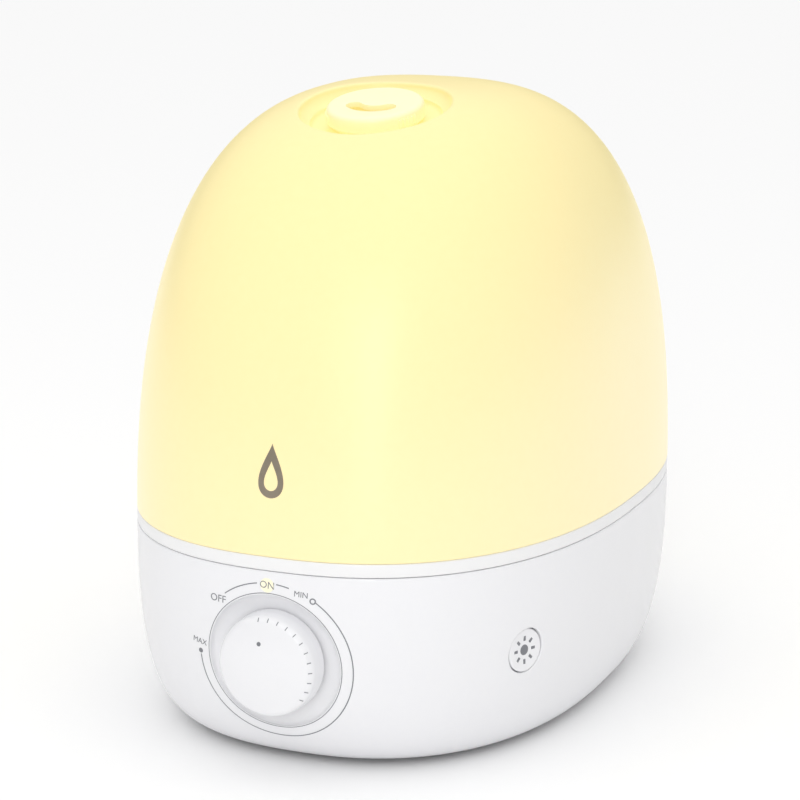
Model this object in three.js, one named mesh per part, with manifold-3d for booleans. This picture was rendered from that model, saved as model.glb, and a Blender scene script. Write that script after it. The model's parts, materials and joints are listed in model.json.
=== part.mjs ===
// Cool mist humidifier: a translucent water tank that lifts off a moulded base, modelled in millimetres.
// X is to the right, +Y to the back and +Z up. The floor is z = 0 and the plan is centred on the origin.
import * as THREE from 'three';
import { LoftGeometry } from 'three/addons/geometries/LoftGeometry.js';
import { mergeVertices } from 'three/addons/utils/BufferGeometryUtils.js';
import Module from 'manifold-3d';

const wasm = await Module();
wasm.setup();

// ---------------------------------------------------------------- driving dimensions

// The outer form: every level section is a superellipse, scaled by a side profile and a front profile.
// The dome's last ring stands at an angle short of the top, in degrees.
const HALF_WIDTH = 84;
const HALF_DEPTH = 119.8;
const PLAN_EXPONENT = 2.4;
const HEIGHT = 214.7;
const WIDEST_Z = 63.8;
const SIDE_PROFILE = { rise: 2.59, round: 3.2 };
const FRONT_PROFILE = { rise: 2.4, round: 2.58 };
const BOWL_PROFILE = { foot: 0.58, rise: 2.31, round: 4.95 };
const LAST_DOME_RING = 83;
const RING_POINTS = 28;
const ROUND_SIDES = 20;
const GAP = 0.3;
const WALL = 2.5;

// Heights of the parting lines
const FOOT_HEIGHT = 2.5;
const BASE_TOP = 70;
const TANK_BOTTOM = BASE_TOP + 0.9;
const SHELL_BOTTOM = 75.2;
const TANK_WALL = 2.4;

// Base shell, cover and feet
const COVER_SCALE = 0.78;
const COVER_OPENING_SCALE = 0.62;
const COVER_THICKNESS = 2.2;
const COVER_POCKET_Z = FOOT_HEIGHT + COVER_THICKNESS + GAP;
const FLANGE_TOP = COVER_POCKET_Z + 3;
const LEDGE = { bottom: 57, top: 59.7, outset: 1, inset: 6.5 };
const FOOT = { x: 34, y: 72, radius: 7, sunk: 1 };
const COVER_SCREW = { x: 46, y: 62, head: 3, shank: 1.2, top: 9.5 };
const GRILLE = { y: 64, halfLength: 19, pitch: 5.2, slots: 8, slotWidth: 2.6 };

// Water basin
const BASIN = {
  deckZ: 60, deckThickness: 2, halfX: 64, halfY: 92, y: 8, exponent: 2.6, floorZ: 36, wall: 2.2, taper: 4,
};
const BASIN_UNDERSIDE = BASIN.floorZ - BASIN.wall;

// Mist path: the transducer, the skirt, the mist tube and the nozzle share one upright line
const MIST_Y = -32.5;
const MIST_TUBE = { inner: 13, wall: 2 };
const MIST_SKIRT_Z = 58;
const RECESS = { radius: 25.7, floorRadius: 22.5, depth: 8.6, tilt: 12.7, wall: 2.4 };
const NOZZLE = { radius: 16.6, bore: 12.9, wall: 1.8, top: 7.3, y: -35.2, z: 210.7 };
const MIST_SLOT = { radius: 8.6, halfWidth: 2.8, sweep: 46, y: 2.5 };
const BAFFLE = { outer: 11.2, inner: 9.8, flange: 15, depth: 8, neck: 12.5, neckTop: 4 };

// Tank bottom: its plate, the skirt that locates it in the base and the upstand inside the shell
const TANK_PLATE = { thickness: 2.2, trimWall: 3 };
const SKIRT = { bottom: 65, wall: 2 };
const UPSTAND = { inset: 2.8, wall: 2, top: SHELL_BOTTOM + 4.5 };
const TUBE_SOCKET = { wall: 2.3, top: SHELL_BOTTOM + 4 };

// Fill cap and valve
const CAP_Y = 42;
const NECK = { inner: 19, outer: 21.5, bottom: 62 };
const CAP = { inner: 21.9, outer: 24.6, bottom: 57, top: 70.2, floor: 2, ribs: 16 };
const CAP_VENTS = { count: 6, circle: 5.6, radius: 1.5 };
const VALVE = {
  stem: 1.8, button: 6.5, buttonZ: 49.5, buttonHeight: 1.5, head: 5, headZ: 61.2, headHeight: 1.4, sealRadius: 9,
};
const SPRING = { radius: 4.2, wire: 0.4, bottom: 51.4, top: 56.3, turns: 4 };
const VALVE_POST = { radius: 3.5, top: VALVE.buttonZ - 0.5 };

// Float, light column and air duct in the basin
const FLOAT = { x: -46, y: 10, post: 3.2, inner: 3.7, outer: 10, bottom: 37, height: 10, retainerZ: 56.3,
  sensorHole: 1.9, sensor: 1.4, sensorBottom: 31, sensorTop: 48 };
const LIGHT = { y: 0, outer: 10, inner: 8, top: 58, boardZ: 50 };
const LENS = { rim: 1.6, radius: 8.4, height: 4 };
const LED = { count: 3, circle: 4, half: 1.4 };
const DUCT = { y: 84, inner: 11, outer: 12.8, top: 65 };

// Ultrasonic transducer under the basin floor
const TRANSDUCER = { opening: 9, disc: 10, discZ: 31.7, thickness: 1.2 };
const SEAL = { inner: 8.5, outer: 14, bottom: 30.6 };
const CLAMP = { outer: 22, bottom: 28.3, top: 30.3, screwCircle: 18.5, boss: 3.2, hole: 1.5 };
const CLAMP_SCREW = { head: 2.6, shank: 1, headZ: 26.6, headHeight: 1.4, top: 33.5 };

// Fan
const FAN = { y: 64, half: 25, bottom: 8, height: 15, bore: 23, rotor: 21.6, hub: 9, blades: 7, pitch: 38 };

// Knob, potentiometer and its round recess
const KNOB_Z = 39.3;
const KNOB = { radius: 17.1, front: HALF_DEPTH + 6.5, inner: 14.8, hub: 5.2, shaft: 3 };
const DISH = { radius: 23.7, floor: HALF_DEPTH - 5, wall: 2.6, rim: 1.6 };
const KNOB_BACK = DISH.floor + 0.4;
const NUT_RADIUS = 7;
const POT = { radius: 8.5, front: 106, back: 96, bushing: 4.6, bushingFront: DISH.floor + DISH.wall };

// Light button, placed on the wall by its bearing: the angle in the superellipse's own parameter
const BUTTON = { bearing: -34.4, z: 39, radius: 7.3, sunk: 0.8, flange: 8.6, stem: 2, plunger: 1.5 };
const SWITCH = { front: 9.9, back: 14, half: 3, boardX: 8, boardZ: 6, boardThickness: 1.6 };

// Boards and inlet
const MAIN_BOARD = { halfX: 42, front: -58, back: 28, z: 12, thickness: 1.6 };
const STANDOFF = { x: MAIN_BOARD.halfX - 6, y: 37, middleY: -15, radius: 2.6 };
const HEATSINK = { left: 18, right: 38, front: -22, back: 4, fins: 5, pitch: 4.6, finWidth: 1.6, height: 12 };
const INDUCTOR = { x: -24, y: -42, inner: 3, outer: 7, height: 6 };
const CAPACITOR = { x: -26, y: -14, radius: 4, height: 12 };
const CONTROL_BOARD = { halfX: 20, below: 13, above: 12, thickness: 1.6 };
const INLET = { z: 21, halfX: 5.5, halfZ: 5.5, length: 13, socket: 3, sunk: 1.6 };

// ---------------------------------------------------------------- shape helpers

const DEG = Math.PI / 180;

/** A closed geometry with its shared corners merged, its empty faces dropped and the rest facing out. */
function weld(geometry) {
  const bare = new THREE.BufferGeometry().copy(geometry);
  bare.deleteAttribute('normal');
  bare.deleteAttribute('uv');
  const merged = mergeVertices(bare, 1e-4);
  const points = merged.getAttribute('position').array;
  const corners = merged.getIndex().array;
  const kept = [];
  let sixfoldVolume = 0;
  for (let i = 0; i < corners.length; i += 3) {
    const [a, b, c] = [corners[i], corners[i + 1], corners[i + 2]];
    if (a === b || b === c || c === a) continue;
    kept.push(a, b, c);
    const [ax, ay, az] = points.slice(3 * a, 3 * a + 3);
    const [bx, by, bz] = points.slice(3 * b, 3 * b + 3);
    const [cx, cy, cz] = points.slice(3 * c, 3 * c + 3);
    sixfoldVolume += ax * (by * cz - bz * cy) + ay * (bz * cx - bx * cz) + az * (bx * cy - by * cx);
  }
  if (sixfoldVolume < 0) kept.reverse();
  return { numProp: 3, vertProperties: new Float32Array(points), triVerts: new Uint32Array(kept) };
}

/** The solid that a closed geometry bounds. */
function solid(geometry) {
  return new wasm.Manifold(new wasm.Mesh(weld(geometry)));
}

/** The geometry of a solid. */
function geometryOf(body) {
  const mesh = body.getMesh();
  const geometry = new THREE.BufferGeometry();
  geometry.setAttribute('position', new THREE.BufferAttribute(new Float32Array(mesh.vertProperties), 3));
  geometry.setIndex(new THREE.BufferAttribute(new Uint32Array(mesh.triVerts), 1));
  geometry.computeVertexNormals();
  return geometry;
}

/** The first solid joined with the others. */
function join(first, ...others) {
  return others.reduce((body, other) => body.add(other), first);
}

/** The first solid with the others cut from it. */
function cut(first, ...others) {
  return others.reduce((body, other) => body.subtract(other), first);
}

/** An upright round bar between two heights. */
function bar(radius, bottom, top, x = 0, y = 0, sides = ROUND_SIDES) {
  const geometry = new THREE.CylinderGeometry(radius, radius, top - bottom, sides);
  geometry.rotateX(Math.PI / 2);
  geometry.translate(x, y, (top + bottom) / 2);
  return geometry;
}

/** A round bar along Y between two depths. */
function barAlongY(radius, front, back, z, x = 0, sides = ROUND_SIDES) {
  const geometry = new THREE.CylinderGeometry(radius, radius, back - front, sides);
  geometry.translate(x, (front + back) / 2, z);
  return geometry;
}

/** A block between two corners. */
function block(low, high) {
  const size = high.map((value, axis) => value - low[axis]);
  const geometry = new THREE.BoxGeometry(...size);
  geometry.translate(...high.map((value, axis) => (value + low[axis]) / 2));
  return geometry;
}

/** A body turned round the Z axis from pairs of radius and height. */
function turned(profile, x = 0, y = 0, sides = ROUND_SIDES) {
  const points = profile.map(([radius, z]) => new THREE.Vector2(radius, z));
  const geometry = new THREE.LatheGeometry(points, sides);
  geometry.rotateX(Math.PI / 2);
  geometry.translate(x, y, 0);
  return geometry;
}

/** A flat ring, closed on itself, between two radii and two heights. */
function ring(inner, outer, bottom, top, x = 0, y = 0, sides = ROUND_SIDES) {
  return turned([[inner, bottom], [outer, bottom], [outer, top], [inner, top], [inner, bottom]], x, y, sides);
}

/** A superellipse at one height. */
function superellipse(halfX, halfY, z, exponent = PLAN_EXPONENT, x = 0, y = 0, count = RING_POINTS) {
  const power = 2 / exponent;
  return Array.from({ length: count }, (_, i) => {
    const angle = (i / count) * 2 * Math.PI;
    const [cos, sin] = [Math.cos(angle), Math.sin(angle)];
    const along = halfX * Math.sign(cos) * Math.abs(cos) ** power;
    const across = halfY * Math.sign(sin) * Math.abs(sin) ** power;
    return new THREE.Vector3(x + along, y + across, z);
  });
}

/** A capped skin over a stack of rings. */
function skin(rings) {
  return new LoftGeometry(rings, { capStart: true, capEnd: true });
}

/** How far the outer form has drawn in at a height, as a share of its widest section. */
function drawnIn(z, profile) {
  if (z >= WIDEST_Z) {
    const up = Math.min((z - WIDEST_Z) / (HEIGHT - WIDEST_Z), 1);
    return (1 - up ** profile.rise) ** (1 / profile.round);
  }
  const down = (WIDEST_Z - z) / WIDEST_Z;
  const share = (1 - down ** BOWL_PROFILE.rise) ** (1 / BOWL_PROFILE.round);
  return BOWL_PROFILE.foot + (1 - BOWL_PROFILE.foot) * share;
}

/** The outer form's ring at a height, moved in by an inset. */
function formRing(z, inset = 0, at = z) {
  const halfX = HALF_WIDTH * drawnIn(at, SIDE_PROFILE) - inset;
  const halfY = HALF_DEPTH * drawnIn(at, FRONT_PROFILE) - inset;
  return superellipse(halfX, halfY, z);
}

/** A point on the front right wall, and how far a frame there turns so that its -Y points straight out. */
function wallAt(bearing, z) {
  const power = 2 / PLAN_EXPONENT;
  const across = Math.cos(bearing) ** power;
  const along = Math.sin(-bearing) ** power;
  const halfX = HALF_WIDTH * drawnIn(z, SIDE_PROFILE);
  const halfY = HALF_DEPTH * drawnIn(z, FRONT_PROFILE);
  const outX = across ** (PLAN_EXPONENT - 1) / halfX;
  const outY = along ** (PLAN_EXPONENT - 1) / halfY;
  return { x: halfX * across, y: -halfY * along, turn: Math.atan2(outX, outY) };
}

/** A slice of the outer form, moved in by an inset, between the lowest and highest of some heights. */
function formSlice(heights, inset = 0) {
  return skin(heights.map((z) => formRing(z, inset)));
}

/** Heights of the dome's rings, closer together where it rounds over. */
function domeHeights(bottom, count) {
  const heights = [bottom];
  for (let i = 1; i <= count; i += 1) {
    const across = Math.cos((i / count) * LAST_DOME_RING * DEG);
    const up = (1 - across ** SIDE_PROFILE.round) ** (1 / SIDE_PROFILE.rise);
    const z = WIDEST_Z + (HEIGHT - WIDEST_Z) * up;
    if (z > bottom + 4) heights.push(z);
  }
  return heights;
}

/** A tube of round section along a smooth line through some points. */
function lead(points, radius, steps) {
  const line = new THREE.CatmullRomCurve3(points.map((point) => new THREE.Vector3(...point)));
  const section = new THREE.Shape();
  section.absarc(0, 0, radius, 0, 2 * Math.PI);
  const options = { steps, extrudePath: line, curveSegments: 3, bevelEnabled: false };
  return new THREE.ExtrudeGeometry(section, options);
}

// ---------------------------------------------------------------- materials

/** A material from its colour, roughness and metalness. */
function finish(color, roughness, metalness = 0, opacity = 1) {
  const transparent = opacity < 1;
  return new THREE.MeshStandardMaterial({ color, roughness, metalness, opacity, transparent });
}

const whiteAbs = finish(0xf4f4f5, 0.28);
const warmTank = finish(0xfbf3c4, 0.35, 0, 0.9);
const whiteTrim = finish(0xf6f6f3, 0.3);
const basinAbs = finish(0xe9eaec, 0.32);
const clearPlastic = finish(0xf5f7fa, 0.12, 0, 0.6);
const greyRubber = finish(0x8d9093, 0.85);
const siliconeWhite = finish(0xdfe2e4, 0.6);
const steel = finish(0xb9bcc0, 0.35, 1);
const aluminium = finish(0xc9ccd0, 0.4, 1);
const boardGreen = finish(0x1f6b43, 0.5);
const blackPlastic = finish(0x1b1c1e, 0.45);
const ceramic = finish(0xd9c9a6, 0.3);
const copper = finish(0xb87333, 0.35, 1);

// ---------------------------------------------------------------- assembly

const humidifier = new THREE.Group();

/** Adds one named piece to a group. */
function piece(name, shape, material, group = humidifier) {
  const geometry = shape.isBufferGeometry ? shape : geometryOf(shape);
  const mesh = new THREE.Mesh(geometry, material);
  mesh.name = name;
  group.add(mesh);
  return mesh;
}

/** Mirror places in the four quarters of the plan, front left first. */
function quarters(x, y) {
  return [[-x, -y], [x, -y], [-x, y], [x, y]];
}

// The button's own frame: its local -Y points out of the wall
const buttonFrame = new THREE.Group();
const buttonWall = wallAt(BUTTON.bearing * DEG, BUTTON.z);
buttonFrame.position.set(buttonWall.x, buttonWall.y, BUTTON.z);
buttonFrame.rotation.z = buttonWall.turn;
buttonFrame.updateMatrix();
humidifier.add(buttonFrame);

/** Moves a geometry from the button's frame to the part's. */
function atButton(geometry) {
  return geometry.applyMatrix4(buttonFrame.matrix);
}

// The nozzle's own frame: its origin is on the recess floor and its +Z leans forward with the dome
const nozzleFrame = new THREE.Group();
const lean = RECESS.tilt * DEG;
nozzleFrame.position.set(0, NOZZLE.y + NOZZLE.top * Math.sin(lean), NOZZLE.z - NOZZLE.top * Math.cos(lean));
nozzleFrame.rotation.x = lean;
nozzleFrame.updateMatrix();
humidifier.add(nozzleFrame);

/** Moves a geometry from the nozzle's frame to the part's. */
function atNozzle(geometry) {
  return geometry.applyMatrix4(nozzleFrame.matrix);
}

// ---- base shell

const baseHeights = [FOOT_HEIGHT, 3.6, 6.5, 11, 18, 29, 46, BASE_TOP];
const baseOuter = solid(formSlice(baseHeights));
const innerHeights = [FLANGE_TOP, 12, 20, 32, 50, BASE_TOP + 2];
const baseInner = solid(skin(innerHeights.map((z) => formRing(z, WALL, Math.min(z - 1, BASE_TOP)))));
const ledge = cut(
  solid(formSlice([LEDGE.bottom, LEDGE.top], LEDGE.outset)),
  solid(formSlice([LEDGE.bottom - 1, LEDGE.top + 1], LEDGE.inset)),
);
const coverOutline = (z, scale, inset = 0) =>
  superellipse(HALF_WIDTH * scale - inset, HALF_DEPTH * scale - inset, z);
const coverPocket = solid(skin([coverOutline(-1, COVER_SCALE), coverOutline(COVER_POCKET_Z, COVER_SCALE)]));
const coverOpening = solid(skin([
  coverOutline(0, COVER_OPENING_SCALE),
  coverOutline(FLANGE_TOP + 4, COVER_OPENING_SCALE),
]));
const dishBossBack = DISH.wall - DISH.floor;
const dishBoss = solid(barAlongY(DISH.radius + DISH.rim, -HALF_DEPTH - 2, dishBossBack, KNOB_Z, 0, 32));
const dishCut = solid(barAlongY(DISH.radius, -HALF_DEPTH - 5, -DISH.floor, KNOB_Z, 0, 32));
const bushingHole = solid(barAlongY(POT.bushing + GAP, -HALF_DEPTH, -100, KNOB_Z));
const buttonHole = solid(atButton(barAlongY(BUTTON.radius + GAP, -6, 8, 0, 0, 24)));
const buttonRelief = solid(atButton(barAlongY(BUTTON.flange + 1.2, 2.8, 12, 0, 0, 20)));
const inletHole = solid(block(
  [-INLET.halfX - GAP, HALF_DEPTH - 25, INLET.z - INLET.halfZ - GAP],
  [INLET.halfX + GAP, HALF_DEPTH + 5, INLET.z + INLET.halfZ + GAP],
));
const flangeHoles = quarters(COVER_SCREW.x, COVER_SCREW.y).map(([x, y]) =>
  solid(bar(COVER_SCREW.shank + GAP + 0.1, 0, FLANGE_TOP + 4, x, y, 8)));
let baseShell = join(cut(baseOuter, baseInner), ledge, dishBoss.intersect(baseOuter));
baseShell = cut(baseShell, coverPocket, coverOpening, dishCut, bushingHole, buttonHole, inletHole);
baseShell = cut(baseShell, buttonRelief, ...flangeHoles);
piece('base_shell', baseShell, whiteAbs);

// ---- bottom cover with the air intake, its feet and screws

let cover = solid(skin([
  coverOutline(FOOT_HEIGHT, COVER_SCALE, GAP),
  coverOutline(FOOT_HEIGHT + COVER_THICKNESS, COVER_SCALE, GAP),
]));
const coverTop = FOOT_HEIGHT + COVER_THICKNESS;
const standoffs = quarters(STANDOFF.x, STANDOFF.y).map(([x, y]) =>
  solid(bar(STANDOFF.radius, coverTop - 0.5, MAIN_BOARD.z - GAP, x, y + STANDOFF.middleY, 8)));
cover = join(cover, ...standoffs);
for (let i = 0; i < GRILLE.slots; i += 1) {
  const y = GRILLE.y + (i - (GRILLE.slots - 1) / 2) * GRILLE.pitch;
  const half = GRILLE.slotWidth / 2;
  cover = cut(cover, solid(block([-GRILLE.halfLength, y - half, 0], [GRILLE.halfLength, y + half, 7])));
}
for (const [x, y] of quarters(FOOT.x, FOOT.y)) {
  cover = cut(cover, solid(bar(FOOT.radius + 0.5, 0, FOOT_HEIGHT + FOOT.sunk, x, y, 16)));
}
for (const [x, y] of quarters(COVER_SCREW.x, COVER_SCREW.y)) {
  cover = cut(cover, solid(bar(COVER_SCREW.shank + 0.5, 0, 8, x, y, 8)));
  cover = cut(cover, solid(bar(COVER_SCREW.head + GAP + 0.1, 0, FOOT_HEIGHT + 1.4, x, y, 12)));
}
piece('bottom_cover', cover, whiteAbs);

quarters(FOOT.x, FOOT.y).forEach(([x, y], i) => {
  const top = FOOT_HEIGHT + FOOT.sunk - GAP;
  const edge = FOOT.radius - 0.8;
  const profile = [[0, 0], [edge, 0], [FOOT.radius, 0.8], [FOOT.radius, top], [0, top]];
  piece(`rubber_foot_${i + 1}`, solid(turned(profile, x, y, 16)), greyRubber);
});

/** A screw driven upwards: a round head below a plain shank. */
function screw(head, shank, headZ, headHeight, top, x, y) {
  const neck = headZ + headHeight;
  const profile = [[0, headZ], [head, headZ], [head, neck], [shank, neck], [shank, top], [0, top]];
  return solid(turned(profile, x, y, 8));
}

quarters(COVER_SCREW.x, COVER_SCREW.y).forEach(([x, y], i) => {
  const shape = screw(COVER_SCREW.head, COVER_SCREW.shank, FOOT_HEIGHT + 0.1, 1, COVER_SCREW.top, x, y);
  piece(`cover_screw_${i + 1}`, shape, steel);
});

// ---- water basin

const basinRing = (z, grow = 0) =>
  superellipse(BASIN.halfX + grow, BASIN.halfY + grow, z, BASIN.exponent, 0, BASIN.y);
const deckTop = BASIN.deckZ + BASIN.deckThickness;
const deck = solid(formSlice([BASIN.deckZ, deckTop], WALL + GAP));
const wellOuter = solid(skin([
  basinRing(BASIN_UNDERSIDE, BASIN.wall - BASIN.taper),
  basinRing(deckTop, BASIN.wall),
]));
const wellInner = solid(skin([basinRing(BASIN.floorZ, -BASIN.taper), basinRing(deckTop + 1)]));
const screwBosses = [];
const screwHoles = [];
const clampScrews = [0, 1, 2].map((i) => {
  const angle = (90 + i * 120) * DEG;
  return [CLAMP.screwCircle * Math.cos(angle), MIST_Y + CLAMP.screwCircle * Math.sin(angle)];
});
for (const [x, y] of clampScrews) {
  screwBosses.push(solid(bar(CLAMP.boss, SEAL.bottom, BASIN_UNDERSIDE + 0.5, x, y, 10)));
  screwHoles.push(solid(bar(CLAMP.hole, 28, BASIN.floorZ - 0.8, x, y, 8)));
}
const dishNotch = solid(barAlongY(DISH.radius + 2, -HALF_DEPTH - 5, dishBossBack + GAP, KNOB_Z, 0, 32));
let basin = cut(join(deck, wellOuter, ...screwBosses), wellInner, dishNotch, ...screwHoles);
basin = join(
  basin,
  solid(bar(VALVE_POST.radius, BASIN.floorZ - 1, VALVE_POST.top, 0, CAP_Y, 16)),
  solid(bar(FLOAT.post, BASIN.floorZ - 1, FLOAT.retainerZ - GAP, FLOAT.x, FLOAT.y, 12)),
  solid(bar(LIGHT.outer, BASIN_UNDERSIDE, LIGHT.top, 0, LIGHT.y)),
  solid(bar(DUCT.outer, BASIN_UNDERSIDE, DUCT.top, 0, DUCT.y)),
);
basin = cut(
  basin,
  solid(bar(TRANSDUCER.opening, 30, 40, 0, MIST_Y)),
  solid(bar(FLOAT.sensorHole, 30, 52, FLOAT.x, FLOAT.y, 10)),
  solid(bar(LIGHT.inner, 30, LIGHT.top + 1, 0, LIGHT.y)),
  solid(bar(DUCT.inner, 30, DUCT.top + 1, 0, DUCT.y)),
);
piece('water_basin', basin, basinAbs);

// ---- light under the tank

const lensRimZ = LIGHT.top + LENS.rim;
const lensRise = LENS.height - LENS.rim;
const lensProfile = [[0, LIGHT.top + GAP], [LIGHT.outer, LIGHT.top + GAP], [LIGHT.outer, lensRimZ]];
for (let i = 0; i <= 4; i += 1) {
  const angle = (i / 4) * 90 * DEG;
  const radius = i === 4 ? 0 : LENS.radius * Math.cos(angle);
  lensProfile.push([radius, lensRimZ + lensRise * Math.sin(angle)]);
}
piece('light_lens', solid(turned(lensProfile, 0, LIGHT.y)), clearPlastic);
let ledBoard = solid(bar(LIGHT.inner - 0.6, LIGHT.boardZ, LIGHT.boardZ + 1.6, 0, LIGHT.y));
for (let i = 0; i < LED.count; i += 1) {
  const angle = (30 + i * 120) * DEG;
  const [x, y] = [LED.circle * Math.cos(angle), LIGHT.y + LED.circle * Math.sin(angle)];
  ledBoard = join(ledBoard, solid(block(
    [x - LED.half, y - LED.half, LIGHT.boardZ + 1],
    [x + LED.half, y + LED.half, LIGHT.boardZ + 2.6],
  )));
}
piece('led_board', ledBoard, boardGreen);

// ---- float and its switch

const pocketTop = FLOAT.bottom + 2.7;
const floatBody = cut(
  solid(ring(FLOAT.inner, FLOAT.outer, FLOAT.bottom, FLOAT.bottom + FLOAT.height, FLOAT.x, FLOAT.y)),
  solid(bar(7, FLOAT.bottom - 1, pocketTop, FLOAT.x, FLOAT.y)),
);
piece('float', floatBody, siliconeWhite);
const magnet = ring(4, 6.7, FLOAT.bottom + GAP, pocketTop - GAP, FLOAT.x, FLOAT.y, 16);
piece('float_magnet', solid(magnet), steel);
const retainer = bar(5.4, FLOAT.retainerZ, FLOAT.retainerZ + 1.6, FLOAT.x, FLOAT.y, 16);
piece('float_retainer', solid(retainer), basinAbs);
const levelSensor = bar(FLOAT.sensor, FLOAT.sensorBottom, FLOAT.sensorTop, FLOAT.x, FLOAT.y, 10);
piece('level_sensor', solid(levelSensor), blackPlastic);

// ---- ultrasonic transducer

const sealTop = BASIN_UNDERSIDE - GAP;
const lipTop = TRANSDUCER.discZ - GAP;
const sealProfile = [
  [SEAL.inner, SEAL.bottom], [SEAL.outer, SEAL.bottom], [SEAL.outer, sealTop],
  [TRANSDUCER.disc + GAP, sealTop], [TRANSDUCER.disc + GAP, lipTop], [SEAL.inner, lipTop],
  [SEAL.inner, SEAL.bottom],
];
piece('transducer_seal', solid(turned(sealProfile, 0, MIST_Y)), siliconeWhite);
const discTop = TRANSDUCER.discZ + TRANSDUCER.thickness;
piece('transducer_disc', solid(bar(TRANSDUCER.disc, TRANSDUCER.discZ, discTop, 0, MIST_Y)), ceramic);
const clamp = cut(
  solid(ring(SEAL.inner, CLAMP.outer, CLAMP.bottom, CLAMP.top, 0, MIST_Y)),
  ...clampScrews.map(([x, y]) => solid(bar(CLAMP.hole, 20, 35, x, y, 8))),
);
piece('transducer_clamp', clamp, aluminium);
clampScrews.forEach(([x, y], i) => {
  const shape = screw(
    CLAMP_SCREW.head, CLAMP_SCREW.shank, CLAMP_SCREW.headZ, CLAMP_SCREW.headHeight, CLAMP_SCREW.top, x, y,
  );
  piece(`clamp_screw_${i + 1}`, shape, steel);
});

// ---- fan

const fanTop = FAN.bottom + FAN.height;
const fanFrame = (z) => superellipse(FAN.half, FAN.half, z, 9, 0, FAN.y, 16);
const motorCup = solid(bar(FAN.hub - 0.4, FAN.bottom, FAN.bottom + 2, 0, FAN.y, 16));
const struts = [0, 1, 2].map((i) => {
  const strut = block([0, -1.2, FAN.bottom], [FAN.bore + 0.8, 1.2, FAN.bottom + 1.6]);
  strut.rotateZ((30 + i * 120) * DEG);
  strut.translate(0, FAN.y, 0);
  return solid(strut);
});
let fanHousing = cut(
  solid(skin([fanFrame(FAN.bottom), fanFrame(fanTop)])),
  solid(bar(FAN.bore, FAN.bottom - 1, fanTop + 1, 0, FAN.y, 24)),
);
const fanAxle = solid(bar(1.5, FAN.bottom + 1, FAN.bottom + 6, 0, FAN.y, 12));
fanHousing = join(fanHousing, motorCup, ...struts, fanAxle);
piece('fan_housing', fanHousing, blackPlastic);

const hubBottom = FAN.bottom + 2.4;
let fanRotor = cut(
  solid(bar(FAN.hub, hubBottom, fanTop - 1, 0, FAN.y)),
  solid(bar(FAN.hub - 1.2, hubBottom - 1, hubBottom + 1, 0, FAN.y)),
  solid(bar(1.6, hubBottom - 1, fanTop - 4, 0, FAN.y, 12)),
);
for (let i = 0; i < FAN.blades; i += 1) {
  const blade = new THREE.BoxGeometry(FAN.rotor - FAN.hub + 1.5, 1.2, 12.5);
  blade.rotateX(FAN.pitch * DEG);
  blade.translate((FAN.rotor + FAN.hub - 1.5) / 2, 0, hubBottom + 5);
  blade.rotateZ((i / FAN.blades) * 2 * Math.PI);
  blade.translate(0, FAN.y, 0);
  fanRotor = join(fanRotor, solid(blade));
}
fanRotor = fanRotor.intersect(solid(bar(FAN.rotor, hubBottom, fanTop - 1, 0, FAN.y, 28)));
piece('fan_rotor', fanRotor, blackPlastic);

const ductBottom = fanTop + GAP;
const ductJoin = BASIN_UNDERSIDE - GAP;
const fanDuct = cut(
  solid(skin([
    superellipse(24.6, 24.6, ductBottom, 7, 0, FAN.y, 24),
    superellipse(13.4, 13.4, ductJoin, 2, 0, DUCT.y, 24),
  ])),
  solid(skin([
    superellipse(23.2, 23.2, ductBottom - 0.8, 7, 0, FAN.y - 1.4, 24),
    superellipse(11, 11, ductJoin + 0.8, 2, 0, DUCT.y + 1.4, 24),
  ])),
);
piece('fan_duct', fanDuct, basinAbs);

// ---- boards, inlet and leads

const boardTop = MAIN_BOARD.z + MAIN_BOARD.thickness;
piece('main_board', solid(block(
  [-MAIN_BOARD.halfX, MAIN_BOARD.front, MAIN_BOARD.z],
  [MAIN_BOARD.halfX, MAIN_BOARD.back, boardTop],
)), boardGreen);
let heatsink = solid(block(
  [HEATSINK.left, HEATSINK.front, boardTop + GAP],
  [HEATSINK.right, HEATSINK.back, boardTop + 2 + GAP],
));
for (let i = 0; i < HEATSINK.fins; i += 1) {
  const x = HEATSINK.left + i * HEATSINK.pitch;
  heatsink = join(heatsink, solid(block(
    [x, HEATSINK.front, boardTop + 1],
    [x + HEATSINK.finWidth, HEATSINK.back, boardTop + HEATSINK.height],
  )));
}
piece('heatsink', heatsink, aluminium);
const inductor = ring(
  INDUCTOR.inner, INDUCTOR.outer, boardTop + GAP, boardTop + INDUCTOR.height, INDUCTOR.x, INDUCTOR.y, 16,
);
piece('inductor', solid(inductor), copper);
const capacitor = bar(
  CAPACITOR.radius, boardTop + GAP, boardTop + CAPACITOR.height, CAPACITOR.x, CAPACITOR.y, 14,
);
piece('capacitor', solid(capacitor), blackPlastic);

const inletFront = HALF_DEPTH * drawnIn(INLET.z, FRONT_PROFILE) - INLET.length - INLET.sunk;
const inletBack = inletFront + INLET.length;
const inlet = cut(
  solid(block(
    [-INLET.halfX, inletFront, INLET.z - INLET.halfZ],
    [INLET.halfX, inletBack, INLET.z + INLET.halfZ],
  )),
  solid(barAlongY(INLET.socket, inletBack - 9.5, inletBack + 1, INLET.z, 0, 14)),
);
const inletPin = solid(barAlongY(1, inletBack - 10, inletBack - 1, INLET.z, 0, 8));
piece('power_inlet', join(inlet, inletPin), blackPlastic);

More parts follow.
